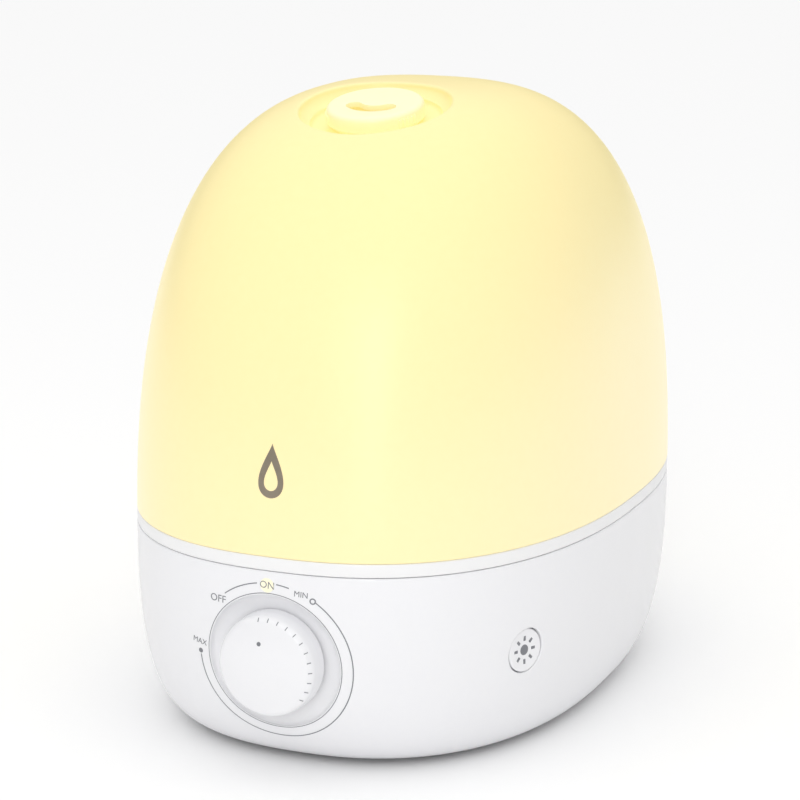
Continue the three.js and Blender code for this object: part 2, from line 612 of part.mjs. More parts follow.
const boardBack = MAIN_BOARD.back;
piece('inlet_lead', solid(lead(
  [[3, inletFront - 1.6, INLET.z], [8, inletFront - 5, 19], [32, 84, 14], [34, 60, 11],
    [33, 38, 12], [31, boardBack + 1, 15.5], [30, boardBack - 5, 16.5]],
  1.1, 16,
)), blackPlastic);
piece('fan_lead', solid(lead(
  [[-18, FAN.y - FAN.half - 0.6, 16], [-20, 35, 17], [-20, 30, 17.5], [-19, 23, 16.8]],
  1, 8,
)), blackPlastic);
piece('transducer_lead', solid(lead(
  [[-7, MIST_Y, 27.2], [-12, MIST_Y + 3, 23], [-14, MIST_Y + 8, 19.5], [-12, MIST_Y + 12, 16.5]],
  1, 8,
)), siliconeWhite);
piece('light_lead', solid(lead(
  [[0, LIGHT.y, LIGHT.boardZ - 1.4], [0, LIGHT.y, 40], [1, LIGHT.y + 1, 30],
    [4, LIGHT.y + 5, 21], [6, LIGHT.y + 10, 16.4]],
  1, 10,
)), siliconeWhite);

// ---- mist knob

/** Turns a shape about the Y axis from pairs of radius and distance in front of the origin plane. */
function turnedForward(profile, sides = 28) {
  const points = profile.map(([radius, forward]) => new THREE.Vector2(radius, forward));
  const geometry = new THREE.LatheGeometry(points, sides);
  geometry.rotateX(Math.PI);
  geometry.translate(0, 0, KNOB_Z);
  return geometry;
}

const knobEdge = KNOB.radius;
const knobProfile = [
  [0, KNOB.front - 2.6], [KNOB.hub, KNOB.front - 2.6], [KNOB.inner, KNOB.front - 4.4],
  [KNOB.inner, KNOB_BACK], [knobEdge, KNOB_BACK], [knobEdge - 0.3, KNOB_BACK + 4],
  [knobEdge - 1.4, KNOB.front - 3], [knobEdge - 4, KNOB.front - 1.2], [9, KNOB.front - 0.3], [0, KNOB.front],
];
const knobHub = cut(
  solid(barAlongY(KNOB.hub, -KNOB.front + 2, -POT.bushingFront - 0.5, KNOB_Z)),
  solid(barAlongY(KNOB.shaft + GAP, -KNOB.front + 3.5, -100, KNOB_Z)),
);
piece('mist_knob', join(solid(turnedForward(knobProfile)), knobHub), whiteAbs);
piece('knob_shaft', solid(barAlongY(KNOB.shaft, -KNOB.front + 3.9, -POT.front + 2, KNOB_Z)), aluminium);

const potBody = join(
  solid(barAlongY(POT.radius, -POT.front, -POT.back, KNOB_Z)),
  solid(barAlongY(POT.bushing, -POT.bushingFront, -POT.front + 0.5, KNOB_Z)),
);
const potBore = solid(barAlongY(KNOB.shaft + GAP, -POT.bushingFront - 1, -POT.front + 2.4, KNOB_Z));
piece('potentiometer', cut(potBody, potBore), steel);
const nut = cut(
  solid(barAlongY(NUT_RADIUS, -DISH.floor - 2, -DISH.floor - GAP, KNOB_Z, 0, 6)),
  solid(barAlongY(POT.bushing + GAP, -DISH.floor - 3, -DISH.floor + 1, KNOB_Z)),
);
piece('potentiometer_nut', nut, steel);
const boardFace = -POT.back + GAP;
piece('control_board', solid(block(
  [-CONTROL_BOARD.halfX, boardFace, KNOB_Z - CONTROL_BOARD.below],
  [CONTROL_BOARD.halfX, boardFace + CONTROL_BOARD.thickness, KNOB_Z + CONTROL_BOARD.above],
)), boardGreen);

// ---- light button and its switch, in the button's own frame

const buttonBody = join(
  solid(barAlongY(BUTTON.radius, BUTTON.sunk, 4, 0, 0, 24)),
  solid(barAlongY(BUTTON.flange, 3.4, 4.6, 0, 0)),
  solid(barAlongY(BUTTON.stem, 4, 8, 0, 0, 10)),
);
piece('light_button', buttonBody, whiteAbs, buttonFrame);
const switchPlunger = barAlongY(BUTTON.plunger, 8 + GAP, 10.6, 0, 0, 10);
piece('switch_plunger', solid(switchPlunger), blackPlastic, buttonFrame);
const switchBody = cut(
  solid(block([-SWITCH.half, SWITCH.front, -SWITCH.half], [SWITCH.half, SWITCH.back, SWITCH.half])),
  solid(barAlongY(BUTTON.plunger + GAP + 0.1, 9, 12.6, 0, 0, 10)),
);
piece('light_switch', switchBody, blackPlastic, buttonFrame);
const switchBoardFront = SWITCH.back + GAP;
piece('switch_board', solid(block(
  [-SWITCH.boardX, switchBoardFront, -SWITCH.boardZ],
  [SWITCH.boardX, switchBoardFront + SWITCH.boardThickness, SWITCH.boardZ],
)), boardGreen, buttonFrame);

// ---- tank shell with the nozzle's recess

const shellHeights = domeHeights(SHELL_BOTTOM, 9);
const tankOuter = solid(formSlice(shellHeights));
const tankInner = solid(skin([
  formRing(SHELL_BOTTOM - 2, TANK_WALL, SHELL_BOTTOM),
  ...shellHeights.slice(1).map((z) => formRing(z - TANK_WALL, TANK_WALL, z)),
]));
const recessFar = RECESS.depth + 20;
const flare = (RECESS.radius - RECESS.floorRadius) / RECESS.depth;
const recessCup = solid(atNozzle(bar(RECESS.radius + RECESS.wall, -RECESS.wall, recessFar, 0, 0, 32)));
const recessFarRadius = RECESS.floorRadius + flare * recessFar;
const recessProfile = [[0, 0], [RECESS.floorRadius, 0], [recessFarRadius, recessFar], [0, recessFar]];
const recessCut = solid(atNozzle(turned(recessProfile, 0, 0, 32)));
const recessBore = solid(atNozzle(bar(BAFFLE.outer + GAP, -12, 5)));
const tankShell = cut(
  join(cut(tankOuter, tankInner), recessCup.intersect(tankOuter)),
  recessCut,
  recessBore,
);
piece('tank_shell', tankShell, warmTank);

// ---- tank bottom: trim ring, plate, locating skirt, fill neck and mist skirt

const plateTop = SHELL_BOTTOM - GAP;
const plateZ = plateTop - TANK_PLATE.thickness;
const trim = cut(
  solid(formSlice([TANK_BOTTOM, plateTop])),
  solid(formSlice([TANK_BOTTOM - 1, plateZ], TANK_PLATE.trimWall)),
);
const skirtWall = cut(
  solid(formSlice([SKIRT.bottom, plateTop - 1], WALL + 1)),
  solid(formSlice([SKIRT.bottom - 1, plateZ], WALL + 1 + SKIRT.wall)),
);
const upstand = cut(
  solid(formSlice([plateTop - 1, UPSTAND.top], UPSTAND.inset)),
  solid(formSlice([plateTop, SHELL_BOTTOM + 6], UPSTAND.inset + UPSTAND.wall)),
);
const tubeOuter = MIST_TUBE.inner + MIST_TUBE.wall;
const tubeSocket = solid(bar(tubeOuter + TUBE_SOCKET.wall, plateTop - 1, TUBE_SOCKET.top, 0, MIST_Y));
const mistSkirt = solid(bar(tubeOuter, MIST_SKIRT_Z, plateTop, 0, MIST_Y));
const neckOuter = solid(bar(NECK.outer, NECK.bottom, plateTop, 0, CAP_Y, 24));
const tankBottom = cut(
  join(trim, skirtWall, upstand, tubeSocket, mistSkirt, neckOuter),
  solid(bar(tubeOuter + GAP, plateTop, SHELL_BOTTOM + 6, 0, MIST_Y)),
  solid(bar(MIST_TUBE.inner, 50, 90, 0, MIST_Y)),
  solid(bar(NECK.inner, 50, 90, 0, CAP_Y, 24)),
);
piece('tank_bottom', tankBottom, whiteTrim);

// ---- mist tube, cut off below the tilted recess

const tubeBlank = cut(
  solid(bar(tubeOuter, plateTop + GAP, HEIGHT, 0, MIST_Y)),
  solid(bar(MIST_TUBE.inner, 70, HEIGHT + 1, 0, MIST_Y)),
);
const aboveRecess = solid(atNozzle(block([-40, -40, -RECESS.wall - GAP], [40, 40, 60])));
piece('mist_tube', cut(tubeBlank, aboveRecess), clearPlastic);

// ---- fill cap, its seal and the valve

let cap = cut(
  solid(bar(CAP.outer, CAP.bottom, CAP.top, 0, CAP_Y, 24)),
  solid(bar(CAP.inner, CAP.bottom + CAP.floor, CAP.top + 1, 0, CAP_Y, 24)),
  solid(bar(VALVE.stem + 0.4, 50, 65, 0, CAP_Y, 12)),
);
for (let i = 0; i < CAP_VENTS.count; i += 1) {
  const angle = (i / CAP_VENTS.count) * 2 * Math.PI;
  const [x, y] = [CAP_VENTS.circle * Math.cos(angle), CAP_Y + CAP_VENTS.circle * Math.sin(angle)];
  cap = cut(cap, solid(bar(CAP_VENTS.radius, 50, 65, x, y, 8)));
}
for (let i = 0; i < CAP.ribs; i += 1) {
  const rib = block([CAP.outer - 0.6, -0.8, CAP.bottom + 1], [CAP.outer + 0.7, 0.8, CAP.top - 0.6]);
  rib.rotateZ((i / CAP.ribs) * 2 * Math.PI);
  rib.translate(0, CAP_Y, 0);
  cap = join(cap, solid(rib));
}
piece('tank_cap', cap, whiteTrim);
const capFloorTop = CAP.bottom + CAP.floor;
const capSeal = ring(18.4, 21.5, capFloorTop + GAP, NECK.bottom - GAP, 0, CAP_Y, 24);
piece('cap_seal', solid(capSeal), siliconeWhite);

const buttonTop = VALVE.buttonZ + VALVE.buttonHeight;
const valveTop = VALVE.headZ + VALVE.headHeight;
const plungerProfile = [
  [0, VALVE.buttonZ], [VALVE.button, VALVE.buttonZ], [VALVE.button, buttonTop], [VALVE.stem, buttonTop],
  [VALVE.stem, VALVE.headZ], [VALVE.head, VALVE.headZ], [VALVE.head, valveTop], [0, valveTop],
];
piece('valve_plunger', solid(turned(plungerProfile, 0, CAP_Y, 16)), whiteTrim);
const sealBottom = capFloorTop + GAP;
const valveSeal = ring(VALVE.stem + 0.4, VALVE.sealRadius, sealBottom, VALVE.headZ - GAP, 0, CAP_Y, 16);
piece('valve_seal', solid(valveSeal), siliconeWhite);

class Helix extends THREE.Curve {
  /** The point at a share of the spring's length. */
  getPoint(share, target = new THREE.Vector3()) {
    const angle = share * SPRING.turns * 2 * Math.PI;
    const z = SPRING.bottom + share * (SPRING.top - SPRING.bottom);
    return target.set(SPRING.radius * Math.cos(angle), CAP_Y + SPRING.radius * Math.sin(angle), z);
  }
}

const wireSection = new THREE.Shape();
wireSection.absarc(0, 0, SPRING.wire, 0, 2 * Math.PI);
const springSteps = SPRING.turns * 10;
const springOptions = { steps: springSteps, extrudePath: new Helix(), curveSegments: 2, bevelEnabled: false };
piece('valve_spring', solid(new THREE.ExtrudeGeometry(wireSection, springOptions)), steel);

// ---- splash baffle and mist nozzle, in the nozzle's own frame

const baffleProfile = [
  [BAFFLE.inner, -BAFFLE.depth], [BAFFLE.outer, -BAFFLE.depth], [BAFFLE.outer, GAP], [BAFFLE.flange, GAP],
  [BAFFLE.flange, 1.5], [BAFFLE.neck, 1.5], [BAFFLE.neck, BAFFLE.neckTop], [BAFFLE.inner, BAFFLE.neckTop],
  [BAFFLE.inner, -BAFFLE.depth],
];
const vaneTop = -BAFFLE.depth + 4;
const baffle = join(
  solid(turned(baffleProfile)),
  solid(block([-BAFFLE.inner - 0.5, -0.8, -BAFFLE.depth], [BAFFLE.inner + 0.5, 0.8, vaneTop])),
  solid(block([-0.8, -BAFFLE.inner - 0.5, -BAFFLE.depth], [0.8, BAFFLE.inner + 0.5, vaneTop])),
);
piece('splash_baffle', baffle, clearPlastic, nozzleFrame);

const nozzleBottom = 1.5 + GAP;
const nozzleCeiling = NOZZLE.top - NOZZLE.wall;
const nozzleProfile = [
  [0, nozzleCeiling], [NOZZLE.bore, nozzleCeiling], [NOZZLE.bore, nozzleBottom], [NOZZLE.radius, nozzleBottom],
  [NOZZLE.radius, NOZZLE.top - 1.2], [NOZZLE.radius - 0.4, NOZZLE.top - 0.4], [NOZZLE.radius - 1.4, NOZZLE.top],
  [0, NOZZLE.top],
];
const slotShape = new THREE.Shape();
const sweep = MIST_SLOT.sweep * DEG;
const slotStart = -90 * DEG - sweep;
const slotEnd = -90 * DEG + sweep;
slotShape.absarc(0, 0, MIST_SLOT.radius + MIST_SLOT.halfWidth, slotStart, slotEnd, false);
slotShape.absarc(0, 0, MIST_SLOT.radius - MIST_SLOT.halfWidth, slotEnd, slotStart, true);
const slotOptions = { depth: 12, curveSegments: 8, bevelEnabled: false };
const slotGeometry = new THREE.ExtrudeGeometry(slotShape, slotOptions);
slotGeometry.translate(0, MIST_SLOT.y, nozzleCeiling - 4);
const nozzle = cut(solid(turned(nozzleProfile, 0, 0, 28)), solid(slotGeometry));
piece('mist_nozzle', nozzle, warmTank, nozzleFrame);

// The knob stands proud at the front, so the whole moves back until its box is centred on the origin.
humidifier.position.y = (KNOB.front - HALF_DEPTH) / 2;

export default humidifier;
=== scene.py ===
"""Cool mist humidifier: the finished shells, the lit tank, the printed dial and the parts under the tank.

Sizes inside the classes are millimetres in the part's own frame, and meshes are scaled to metres.
"""

import json
import logging
import math
from collections.abc import Callable, Iterable, Sequence
from dataclasses import dataclass, field
from enum import Enum

import bmesh
import bpy
import numpy as np
from bpy.types import ID, Material, Mesh, Node, NodeOutputs, NodeSocket, NodeTree, Object
from mathutils import Matrix, Vector


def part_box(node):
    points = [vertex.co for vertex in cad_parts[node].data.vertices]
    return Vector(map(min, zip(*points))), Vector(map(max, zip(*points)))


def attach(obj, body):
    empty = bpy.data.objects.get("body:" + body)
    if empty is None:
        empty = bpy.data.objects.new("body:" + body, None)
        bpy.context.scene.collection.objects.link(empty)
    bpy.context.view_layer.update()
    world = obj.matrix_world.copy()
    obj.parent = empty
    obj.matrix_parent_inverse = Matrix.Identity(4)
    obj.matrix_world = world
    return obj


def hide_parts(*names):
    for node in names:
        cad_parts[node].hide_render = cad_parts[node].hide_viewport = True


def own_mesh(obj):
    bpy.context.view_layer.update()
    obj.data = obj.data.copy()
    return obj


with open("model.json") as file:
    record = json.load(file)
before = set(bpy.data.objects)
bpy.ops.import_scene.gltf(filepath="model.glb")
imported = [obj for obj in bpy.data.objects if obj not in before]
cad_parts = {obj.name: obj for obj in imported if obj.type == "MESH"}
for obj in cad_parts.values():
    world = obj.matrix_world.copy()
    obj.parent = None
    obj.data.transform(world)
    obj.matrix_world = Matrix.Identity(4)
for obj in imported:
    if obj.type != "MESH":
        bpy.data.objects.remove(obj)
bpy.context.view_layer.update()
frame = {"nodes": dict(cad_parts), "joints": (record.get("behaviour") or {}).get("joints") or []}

MM = 0.001
TURN = 2 * math.pi
log = logging.getLogger("humidifier")


class Body(Enum):
    """The moving bodies that a piece can ride on."""

    BASE = "base"
    TANK = "tank"
    CAP = "cap"
    VALVE = "valve"
    BAFFLE = "baffle"
    NOZZLE = "nozzle"
    KNOB = "knob"
    BUTTON = "button"
    FAN = "fan"
    FLOAT = "float"


class Cut(Enum):
    """How one solid works on another."""

    JOIN = "UNION"
    REMOVE = "DIFFERENCE"


# ---------------------------------------------------------------- nodes and finishes


def linear(code: str, alpha: float = 1.0) -> tuple[float, float, float, float]:
    """A linear colour from an sRGB hex value such as "f4f4f6"."""
    shares = (int(code[i : i + 2], 16) / 255 for i in (0, 2, 4))
    red, green, blue = (s / 12.92 if s <= 0.04045 else ((s + 0.055) / 1.055) ** 2.4 for s in shares)
    return (red, green, blue, alpha)


def add_node(
    tree: NodeTree, kind: str, inputs: dict[str | int, object] | None = None,
    settings: dict[str, object] | None = None,
) -> Node:
    """Adds one node to a tree.

    Args:
        tree: The shader or geometry tree.
        kind: The node's type name.
        inputs: For each input, a value to set or an output to link.
        settings: The node's own properties.

    Returns:
        The new node.
    """
    node = tree.nodes.new(kind)
    for name, value in (settings or {}).items():
        setattr(node, name, value)
    for name, value in (inputs or {}).items():
        if isinstance(value, NodeSocket):
            tree.links.new(value, node.inputs[name])
        else:
            node.inputs[name].default_value = value
    return node


@dataclass(frozen=True)
class Finish:
    """A finish with a fine grain in its bump, its roughness and its tone.

    Grain sizes are real lengths.
    """

    name: str
    slot: str
    colour: str
    tone: str
    roughness: float
    metallic: float = 0.0
    ior: float = 1.5
    grain_mm: float = 1.2
    bump_mm: float = 0.004
    rough_spread: float = 0.06
    coat: float = 0.0
    transmission: float = 0.0
    stretch: tuple[float, float, float] = (1.0, 1.0, 1.0)

    def shader(self, tree: NodeTree) -> Node:
        """Builds the grain and the principled shader in a cleared tree, and returns the shader."""
        place = add_node(tree, "ShaderNodeTexCoord")
        stretched = add_node(
            tree, "ShaderNodeMapping", {"Vector": place.outputs["Object"], "Scale": self.stretch}
        )
        noise = add_node(
            tree, "ShaderNodeTexNoise",
            {"Vector": stretched.outputs["Vector"], "Scale": 1 / (self.grain_mm * MM), "Detail": 3.0},
        )
        tint = add_node(
            tree, "ShaderNodeMix", {0: noise.outputs["Fac"], 6: linear(self.colour), 7: linear(self.tone)},
            {"data_type": "RGBA"},
        )
        gloss = add_node(
            tree, "ShaderNodeMapRange",
            {
                "Value": noise.outputs["Fac"], "To Min": self.roughness - self.rough_spread / 2,
                "To Max": self.roughness + self.rough_spread / 2,
            },
        )
        bump = add_node(
            tree, "ShaderNodeBump",
            {"Height": noise.outputs["Fac"], "Distance": self.bump_mm * MM, "Strength": 1.0},
        )
        return add_node(
            tree, "ShaderNodeBsdfPrincipled",
            {
                "Base Color": tint.outputs[2], "Roughness": gloss.outputs["Result"],
                "Normal": bump.outputs["Normal"], "Metallic": self.metallic, "IOR": self.ior,
                "Coat Weight": self.coat, "Transmission Weight": self.transmission,
            },
        )

    def material(self) -> Material:
        """The finish as a material, made once and then shared."""
        made = bpy.data.materials.get(self.name)
        if made:
            return made
        made = bpy.data.materials.new(self.name)
        made.use_nodes = True
        made.node_tree.nodes.clear()
        shader = self.shader(made.node_tree)
        add_node(made.node_tree, "ShaderNodeOutputMaterial", {"Surface": shader.outputs["BSDF"]})
        made.diffuse_color = linear(self.colour)
        return made


@dataclass(frozen=True)
class LitFinish(Finish):
    """Milky polypropylene lit from inside: the wall glows most near the lamp and yellows away from it."""

    near_glow: str = "fffae0"
    far_glow: str = "ffee8c"
    strength: float = 0.27
    lamp_mm: tuple[float, float, float] = (0.0, 3.25, 62.0)
    near_mm: float = 95.0
    far_mm: float = 168.0

    def shader(self, tree: NodeTree) -> Node:
        """Adds the glow to the moulded finish, and returns the shader."""
        shader = super().shader(tree)
        place = add_node(tree, "ShaderNodeTexCoord")
        away = add_node(
            tree, "ShaderNodeVectorMath", {0: place.outputs["Object"], 1: [v * MM for v in self.lamp_mm]},
            {"operation": "DISTANCE"},
        )
        share = add_node(
            tree, "ShaderNodeMapRange",
            {"Value": away.outputs["Value"], "From Min": self.near_mm * MM, "From Max": self.far_mm * MM},
            {"interpolation_type": "SMOOTHSTEP"},
        )
        glow = add_node(
            tree, "ShaderNodeMix",
            {0: share.outputs["Result"], 6: linear(self.near_glow), 7: linear(self.far_glow)},
            {"data_type": "RGBA"},
        )
        tree.links.new(glow.outputs[2], shader.inputs["Emission Color"])
        shader.inputs["Emission Strength"].default_value = self.strength
        return shader


# Injection-moulded ABS with a polished tool face: bright, satin-glossy, with the faintest ripple
WHITE_ABS = Finish(
    "moulded_white_abs", "white_abs", "f2f2f4", "f0f0f3", 0.27, grain_mm=2.4, bump_mm=0.0004,
    rough_spread=0.0, ior=1.54,
)
# The same plastic on the trim ring, a little warmer because the tank lights it
TRIM_ABS = Finish(
    "moulded_trim_abs", "trim_white", "f4f4f4", "f2f2f3", 0.3, grain_mm=2.4, bump_mm=0.0004, rough_spread=0.0,
    ior=1.54,
)
# Polypropylene blown thin and frosted, so that the lamp fills the wall; its yellow colour is painted lamp
# light, and so is its glow
LIT_TANK = LitFinish(
    "lit_frosted_polypropylene", "tank_translucent", "e8d9a4", "e6d69e", 0.34, grain_mm=3, bump_mm=0.0005,
    rough_spread=0.0, ior=1.49,
)
# The nozzle and the baffle under it are thicker and further from the lamp, so the lamp light painted into
# their yellow colour and glow stays paler
LIT_NOZZLE = LitFinish(
    "lit_frosted_nozzle", "tank_translucent", "f3ebca", "f1e8c4", 0.34, strength=0.24, grain_mm=3,
    bump_mm=0.0005, rough_spread=0.0, ior=1.49,
)
# Plainer ABS inside, straight off a fine spark-eroded tool
BASIN_ABS = Finish("moulded_basin_abs", "basin_abs", "e6e8eb", "e0e2e6", 0.42, grain_mm=0.9, bump_mm=0.01)
# Clear polycarbonate, moulded, slightly hazed by hard water
CLEAR_PC = Finish(
    "moulded_clear_polycarbonate", "clear_plastic", "eef3f6", "e6edf2", 0.16, grain_mm=3, ior=1.58,
    transmission=0.75,
)
# Thermoplastic rubber feet, matt from the tool
GREY_RUBBER = Finish(
    "moulded_grey_rubber", "grey_rubber", "84878b", "7a7d81", 0.8, grain_mm=0.5, bump_mm=0.03
)
# Soft translucent silicone for seals, the float and the low-voltage leads
SILICONE = Finish(
    "moulded_silicone", "silicone", "dfe2e5", "d5d9dd", 0.55, grain_mm=0.8, bump_mm=0.012, ior=1.42
)
# Zinc-plated steel, cold headed: bright with a fine directional drawing mark
ZINCED_STEEL = Finish(
    "zinc_plated_steel", "steel", "b9bdc2", "a3a8ae", 0.3, metallic=1.0, grain_mm=0.6, bump_mm=0.006,
    stretch=(1, 1, 6),
)
# Bead-blasted aluminium
BLASTED_ALUMINIUM = Finish(
    "blasted_aluminium", "aluminium", "c8cbd0", "b8bcc2", 0.42, metallic=1.0, grain_mm=0.35, bump_mm=0.01
)
# Green solder mask over woven glass laminate; the weave is drawn at its real 0.9 mm
SOLDER_MASK = Finish(
    "green_solder_mask", "circuit_board", "1f6b43", "185a37", 0.38, grain_mm=0.9, bump_mm=0.015, coat=0.3
)
# Glass-filled black nylon
BLACK_NYLON = Finish(
    "moulded_black_nylon", "black_plastic", "1d1e20", "25272a", 0.46, grain_mm=0.6, bump_mm=0.02
)
# Silvered piezo ceramic, fired and lapped
LAPPED_CERAMIC = Finish(
    "silvered_piezo_ceramic", "piezo_ceramic", "cfc7b4", "c2b9a3", 0.28, metallic=0.6, grain_mm=0.5
)
# Enamelled copper wire
ENAMELLED_COPPER = Finish(
    "enamelled_copper", "copper_winding", "b06c34", "9c5c28", 0.3, metallic=1.0, grain_mm=0.7, bump_mm=0.05
)
# Pad-printed grey ink, flat and slightly raised; the same grey paints the shade in the knob's dimple
GREY_INK_AND_PAINTED_SHADE = Finish(
    "pad_printed_grey_ink_and_painted_shade", "black_plastic", "7b7d82", "818388", 0.5, grain_mm=0.4, bump_mm=0.003
)
# The window behind the word ON, with a painted glow that stands in for a lamp behind it
WINDOW_GLOW = LitFinish(
    "lit_dial_window", "tank_translucent", "f6f2dc", "f4efd4", 0.4, near_glow="fff3c0", far_glow="fff3c0",
    strength=0.12, grain_mm=2,
)
# White paper sweep
FLOOR_PAPER = Finish("white_paper_sweep", "", "ffffff", "fefefe", 0.9, grain_mm=3, bump_mm=0.01)
# Hot-stamped pewter foil
PEWTER_FOIL = Finish(
    "hot_stamped_pewter_foil", "steel", "9a9080", "8d8373", 0.36, metallic=0.55, grain_mm=2.5, bump_mm=0.004
)


# ---------------------------------------------------------------- mesh helpers


def millimetres(node: str) -> tuple[np.ndarray, np.ndarray]:
    """The lowest and highest corners of a CAD node, in millimetres."""
    low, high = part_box(node)
    return np.array(low) / MM, np.array(high) / MM


def rounded(
    corners: Sequence[tuple[float, ...]], closed: bool = False, steps: int = 5
) -> list[tuple[float, float]]:
    """Rounds the corners of an outline.

    Args:
        corners: Points as (across, up) or (across, up, fillet radius).
        closed: Whether the last point joins the first.
        steps: Segments in each rounded corner.

    Returns:
        The outline's points.
    """
    flat = [np.array(c[:2], float) for c in corners]
    made: list[tuple[float, float]] = []
    for i, corner in enumerate(corners):
        here, fillet = flat[i], corner[2] if len(corner) > 2 else 0.0
        ends = not closed and i in (0, len(corners) - 1)
        if ends or fillet <= 0:
            made.append((float(here[0]), float(here[1])))
            continue
        back, on = flat[i - 1] - here, flat[(i + 1) % len(flat)] - here
        back_length, on_length = np.linalg.norm(back), np.linalg.norm(on)
        back, on = back / back_length, on / on_length
        half = math.acos(float(np.clip(back @ on, -1, 1))) / 2
        run = min(fillet / math.tan(half), 0.49 * back_length, 0.49 * on_length)
        centre = here + (back + on) / np.linalg.norm(back + on) * run / math.cos(half)
        first, last = here + back * run - centre, here + on * run - centre
        spread = math.acos(float(np.clip(first @ last / (first @ first), -1, 1)))
        for step in range(steps + 1):
            share = step / steps
            arm = (
                math.sin((1 - share) * spread) * first + math.sin(share * spread) * last
            ) / math.sin(spread)
            made.append((float(centre[0] + arm[0]), float(centre[1] + arm[1])))
    return made


class LoopMesh:
    """Points and faces gathered from loops of points that are joined with quads."""

    def __init__(self) -> None:
        """Starts empty."""
        self.points: list[np.ndarray] = []
        self.faces: list[tuple[int, ...]] = []
        self.count = 0

    def add(
        self, loops: Sequence[np.ndarray], ring: bool = False, gaps: Callable[[int, int], bool] | None = None
    ) -> None:
        """Joins each loop to the next.

        Args:
            loops: Arrays of the same number of points, each closed on itself.
            ring: Whether the last loop joins the first.
            gaps: Says which cells, by loop and by place along it, are left out.
        """
        size, rows = len(loops[0]), len(loops)
        for row in range(rows if ring else rows - 1):
            here, there = self.count + row * size, self.count + (row + 1) % rows * size
            for i in range(size):
                if gaps and gaps(row, i):
                    continue
                j = (i + 1) % size
                self.faces.append((here + i, here + j, there + j, there + i))
        self.points.extend(loops)
        self.count += size * rows

    def close(self, size: int) -> None:
        """Closes the first and the last loop, of a number of points each, with a face."""
        self.faces += [tuple(range(size)), tuple(range(self.count - size, self.count))]

    def mesh(self, name: str, sharp: float = 32.0) -> Mesh:
        """The gathered faces as one welded mesh in metres, with edges over an angle kept sharp."""
        made = bpy.data.meshes.new(name)
        made.from_pydata((np.vstack(self.points) * MM).tolist(), [], self.faces)
        return tidied(made, sharp)


def in_scene(name: str, data: ID) -> Object:
    """A new object in the scene that holds some data."""
    made = bpy.data.objects.new(name, data)
    bpy.context.scene.collection.objects.link(made)
    return made


def drained(work: bmesh.types.BMesh, name: str) -> Mesh:
    """A new mesh with the work's faces in it. The work is used up."""
    made = bpy.data.meshes.new(name)
    work.to_mesh(made)
    work.free()
    return made


def tidied(mesh: Mesh, sharp: float = 32.0, weld_mm: float = 0.002) -> Mesh:
    """Welds a mesh, turns its faces outwards and smooths all but its sharp edges."""
    work = bmesh.new()
    work.from_mesh(mesh)
    bmesh.ops.remove_doubles(work, verts=work.verts, dist=weld_mm * MM)
    bmesh.ops.recalc_face_normals(work, faces=work.faces)
    work.to_mesh(mesh)
    work.free()
    mesh.shade_smooth()
    mesh.set_sharp_from_angle(angle=math.radians(sharp))
    return mesh


def turned(
    name: str, profile: Sequence[tuple[float, float]], place: Matrix | None = None, sides: int = 96
) -> Mesh:
    """A body turned about Z.

    Args:
        name: The mesh's name.
        profile: Pairs of radius and height. It starts and ends on the axis, or closes on itself.
        place: The turned body's own frame, in millimetres.
        sides: Points round the axis.

    Returns:
        The mesh, in metres.
    """
    angles = np.arange(sides) * TURN / sides
    loops = [np.stack([r * np.cos(angles), r * np.sin(angles), np.full(sides, z)], 1) for r, z in profile]
    if place is not None:
        grid = np.array(place)
        loops = [loop @ grid[:3, :3].T + grid[:3, 3] for loop in loops]
    shape = LoopMesh()
    shape.add(loops, ring=profile[0][0] > 0)
    return shape.mesh(name)


def at(x: float, y: float, z: float = 0.0) -> Matrix:
    """A frame moved to a point, in millimetres."""
    return Matrix.Translation((x, y, z))


def block(name: str, low: Iterable[float], high: Iterable[float], place: Matrix | None = None) -> Mesh:
    """A box between two corners, in millimetres."""
    low, high = np.array(list(low), float), np.array(list(high), float)
    made = bpy.data.meshes.new(name)
    work = bmesh.new()
    frame_of_box = Matrix.Translation((low + high) / 2) @ Matrix.Diagonal((*(high - low), 1))
    bmesh.ops.create_cube(work, size=1.0, matrix=(place or Matrix()) @ frame_of_box)
    bmesh.ops.scale(work, vec=(MM, MM, MM), verts=work.verts)
    work.to_mesh(made)
    work.free()
    return made


def evaluated(mesh: Mesh, build: Callable[[Object], None]) -> Mesh:
    """The plain mesh that modifiers make.

    Args:
        mesh: The mesh to start from.
        build: Adds the modifiers to an object that holds the mesh.

    Returns:
        A new mesh with the modifiers' work in it.
    """
    holder = in_scene("work", mesh)
    build(holder)
    bpy.context.view_layer.update()
    graph = bpy.context.evaluated_depsgraph_get()
    made = bpy.data.meshes.new_from_object(
        holder.evaluated_get(graph), preserve_all_data_layers=True, depsgraph=graph
    )
    holder.modifiers.clear()
    bpy.data.objects.remove(holder)
    return made


def combined(mesh: Mesh, how: Cut, *others: Mesh) -> Mesh:
    """One solid after others are joined to it or cut from it, in turn."""
    for other in others:
        tool = in_scene("tool", other)

        def cutting(holder: Object, tool: Object = tool) -> None:
            """Adds the cut."""
            cutter = holder.modifiers.new("cut", "BOOLEAN")
            cutter.operation = how.value
            cutter.solver = "EXACT"
            cutter.object = tool

        mesh = evaluated(mesh, cutting)
        bpy.data.objects.remove(tool)
    return tidied(mesh)


def softened(mesh: Mesh, width_mm: float, angle: float = 40.0, segments: int = 2) -> Mesh:
    """A mesh with its sharp edges rounded over."""

    def bevel(holder: Object) -> None:
        """Adds the rounding."""
        edge = holder.modifiers.new("edge", "BEVEL")
        edge.width = width_mm * MM
        edge.segments = segments
        edge.limit_method = "ANGLE"
        edge.angle_limit = math.radians(angle)

    return tidied(evaluated(mesh, bevel), 40.0, 0.0005)


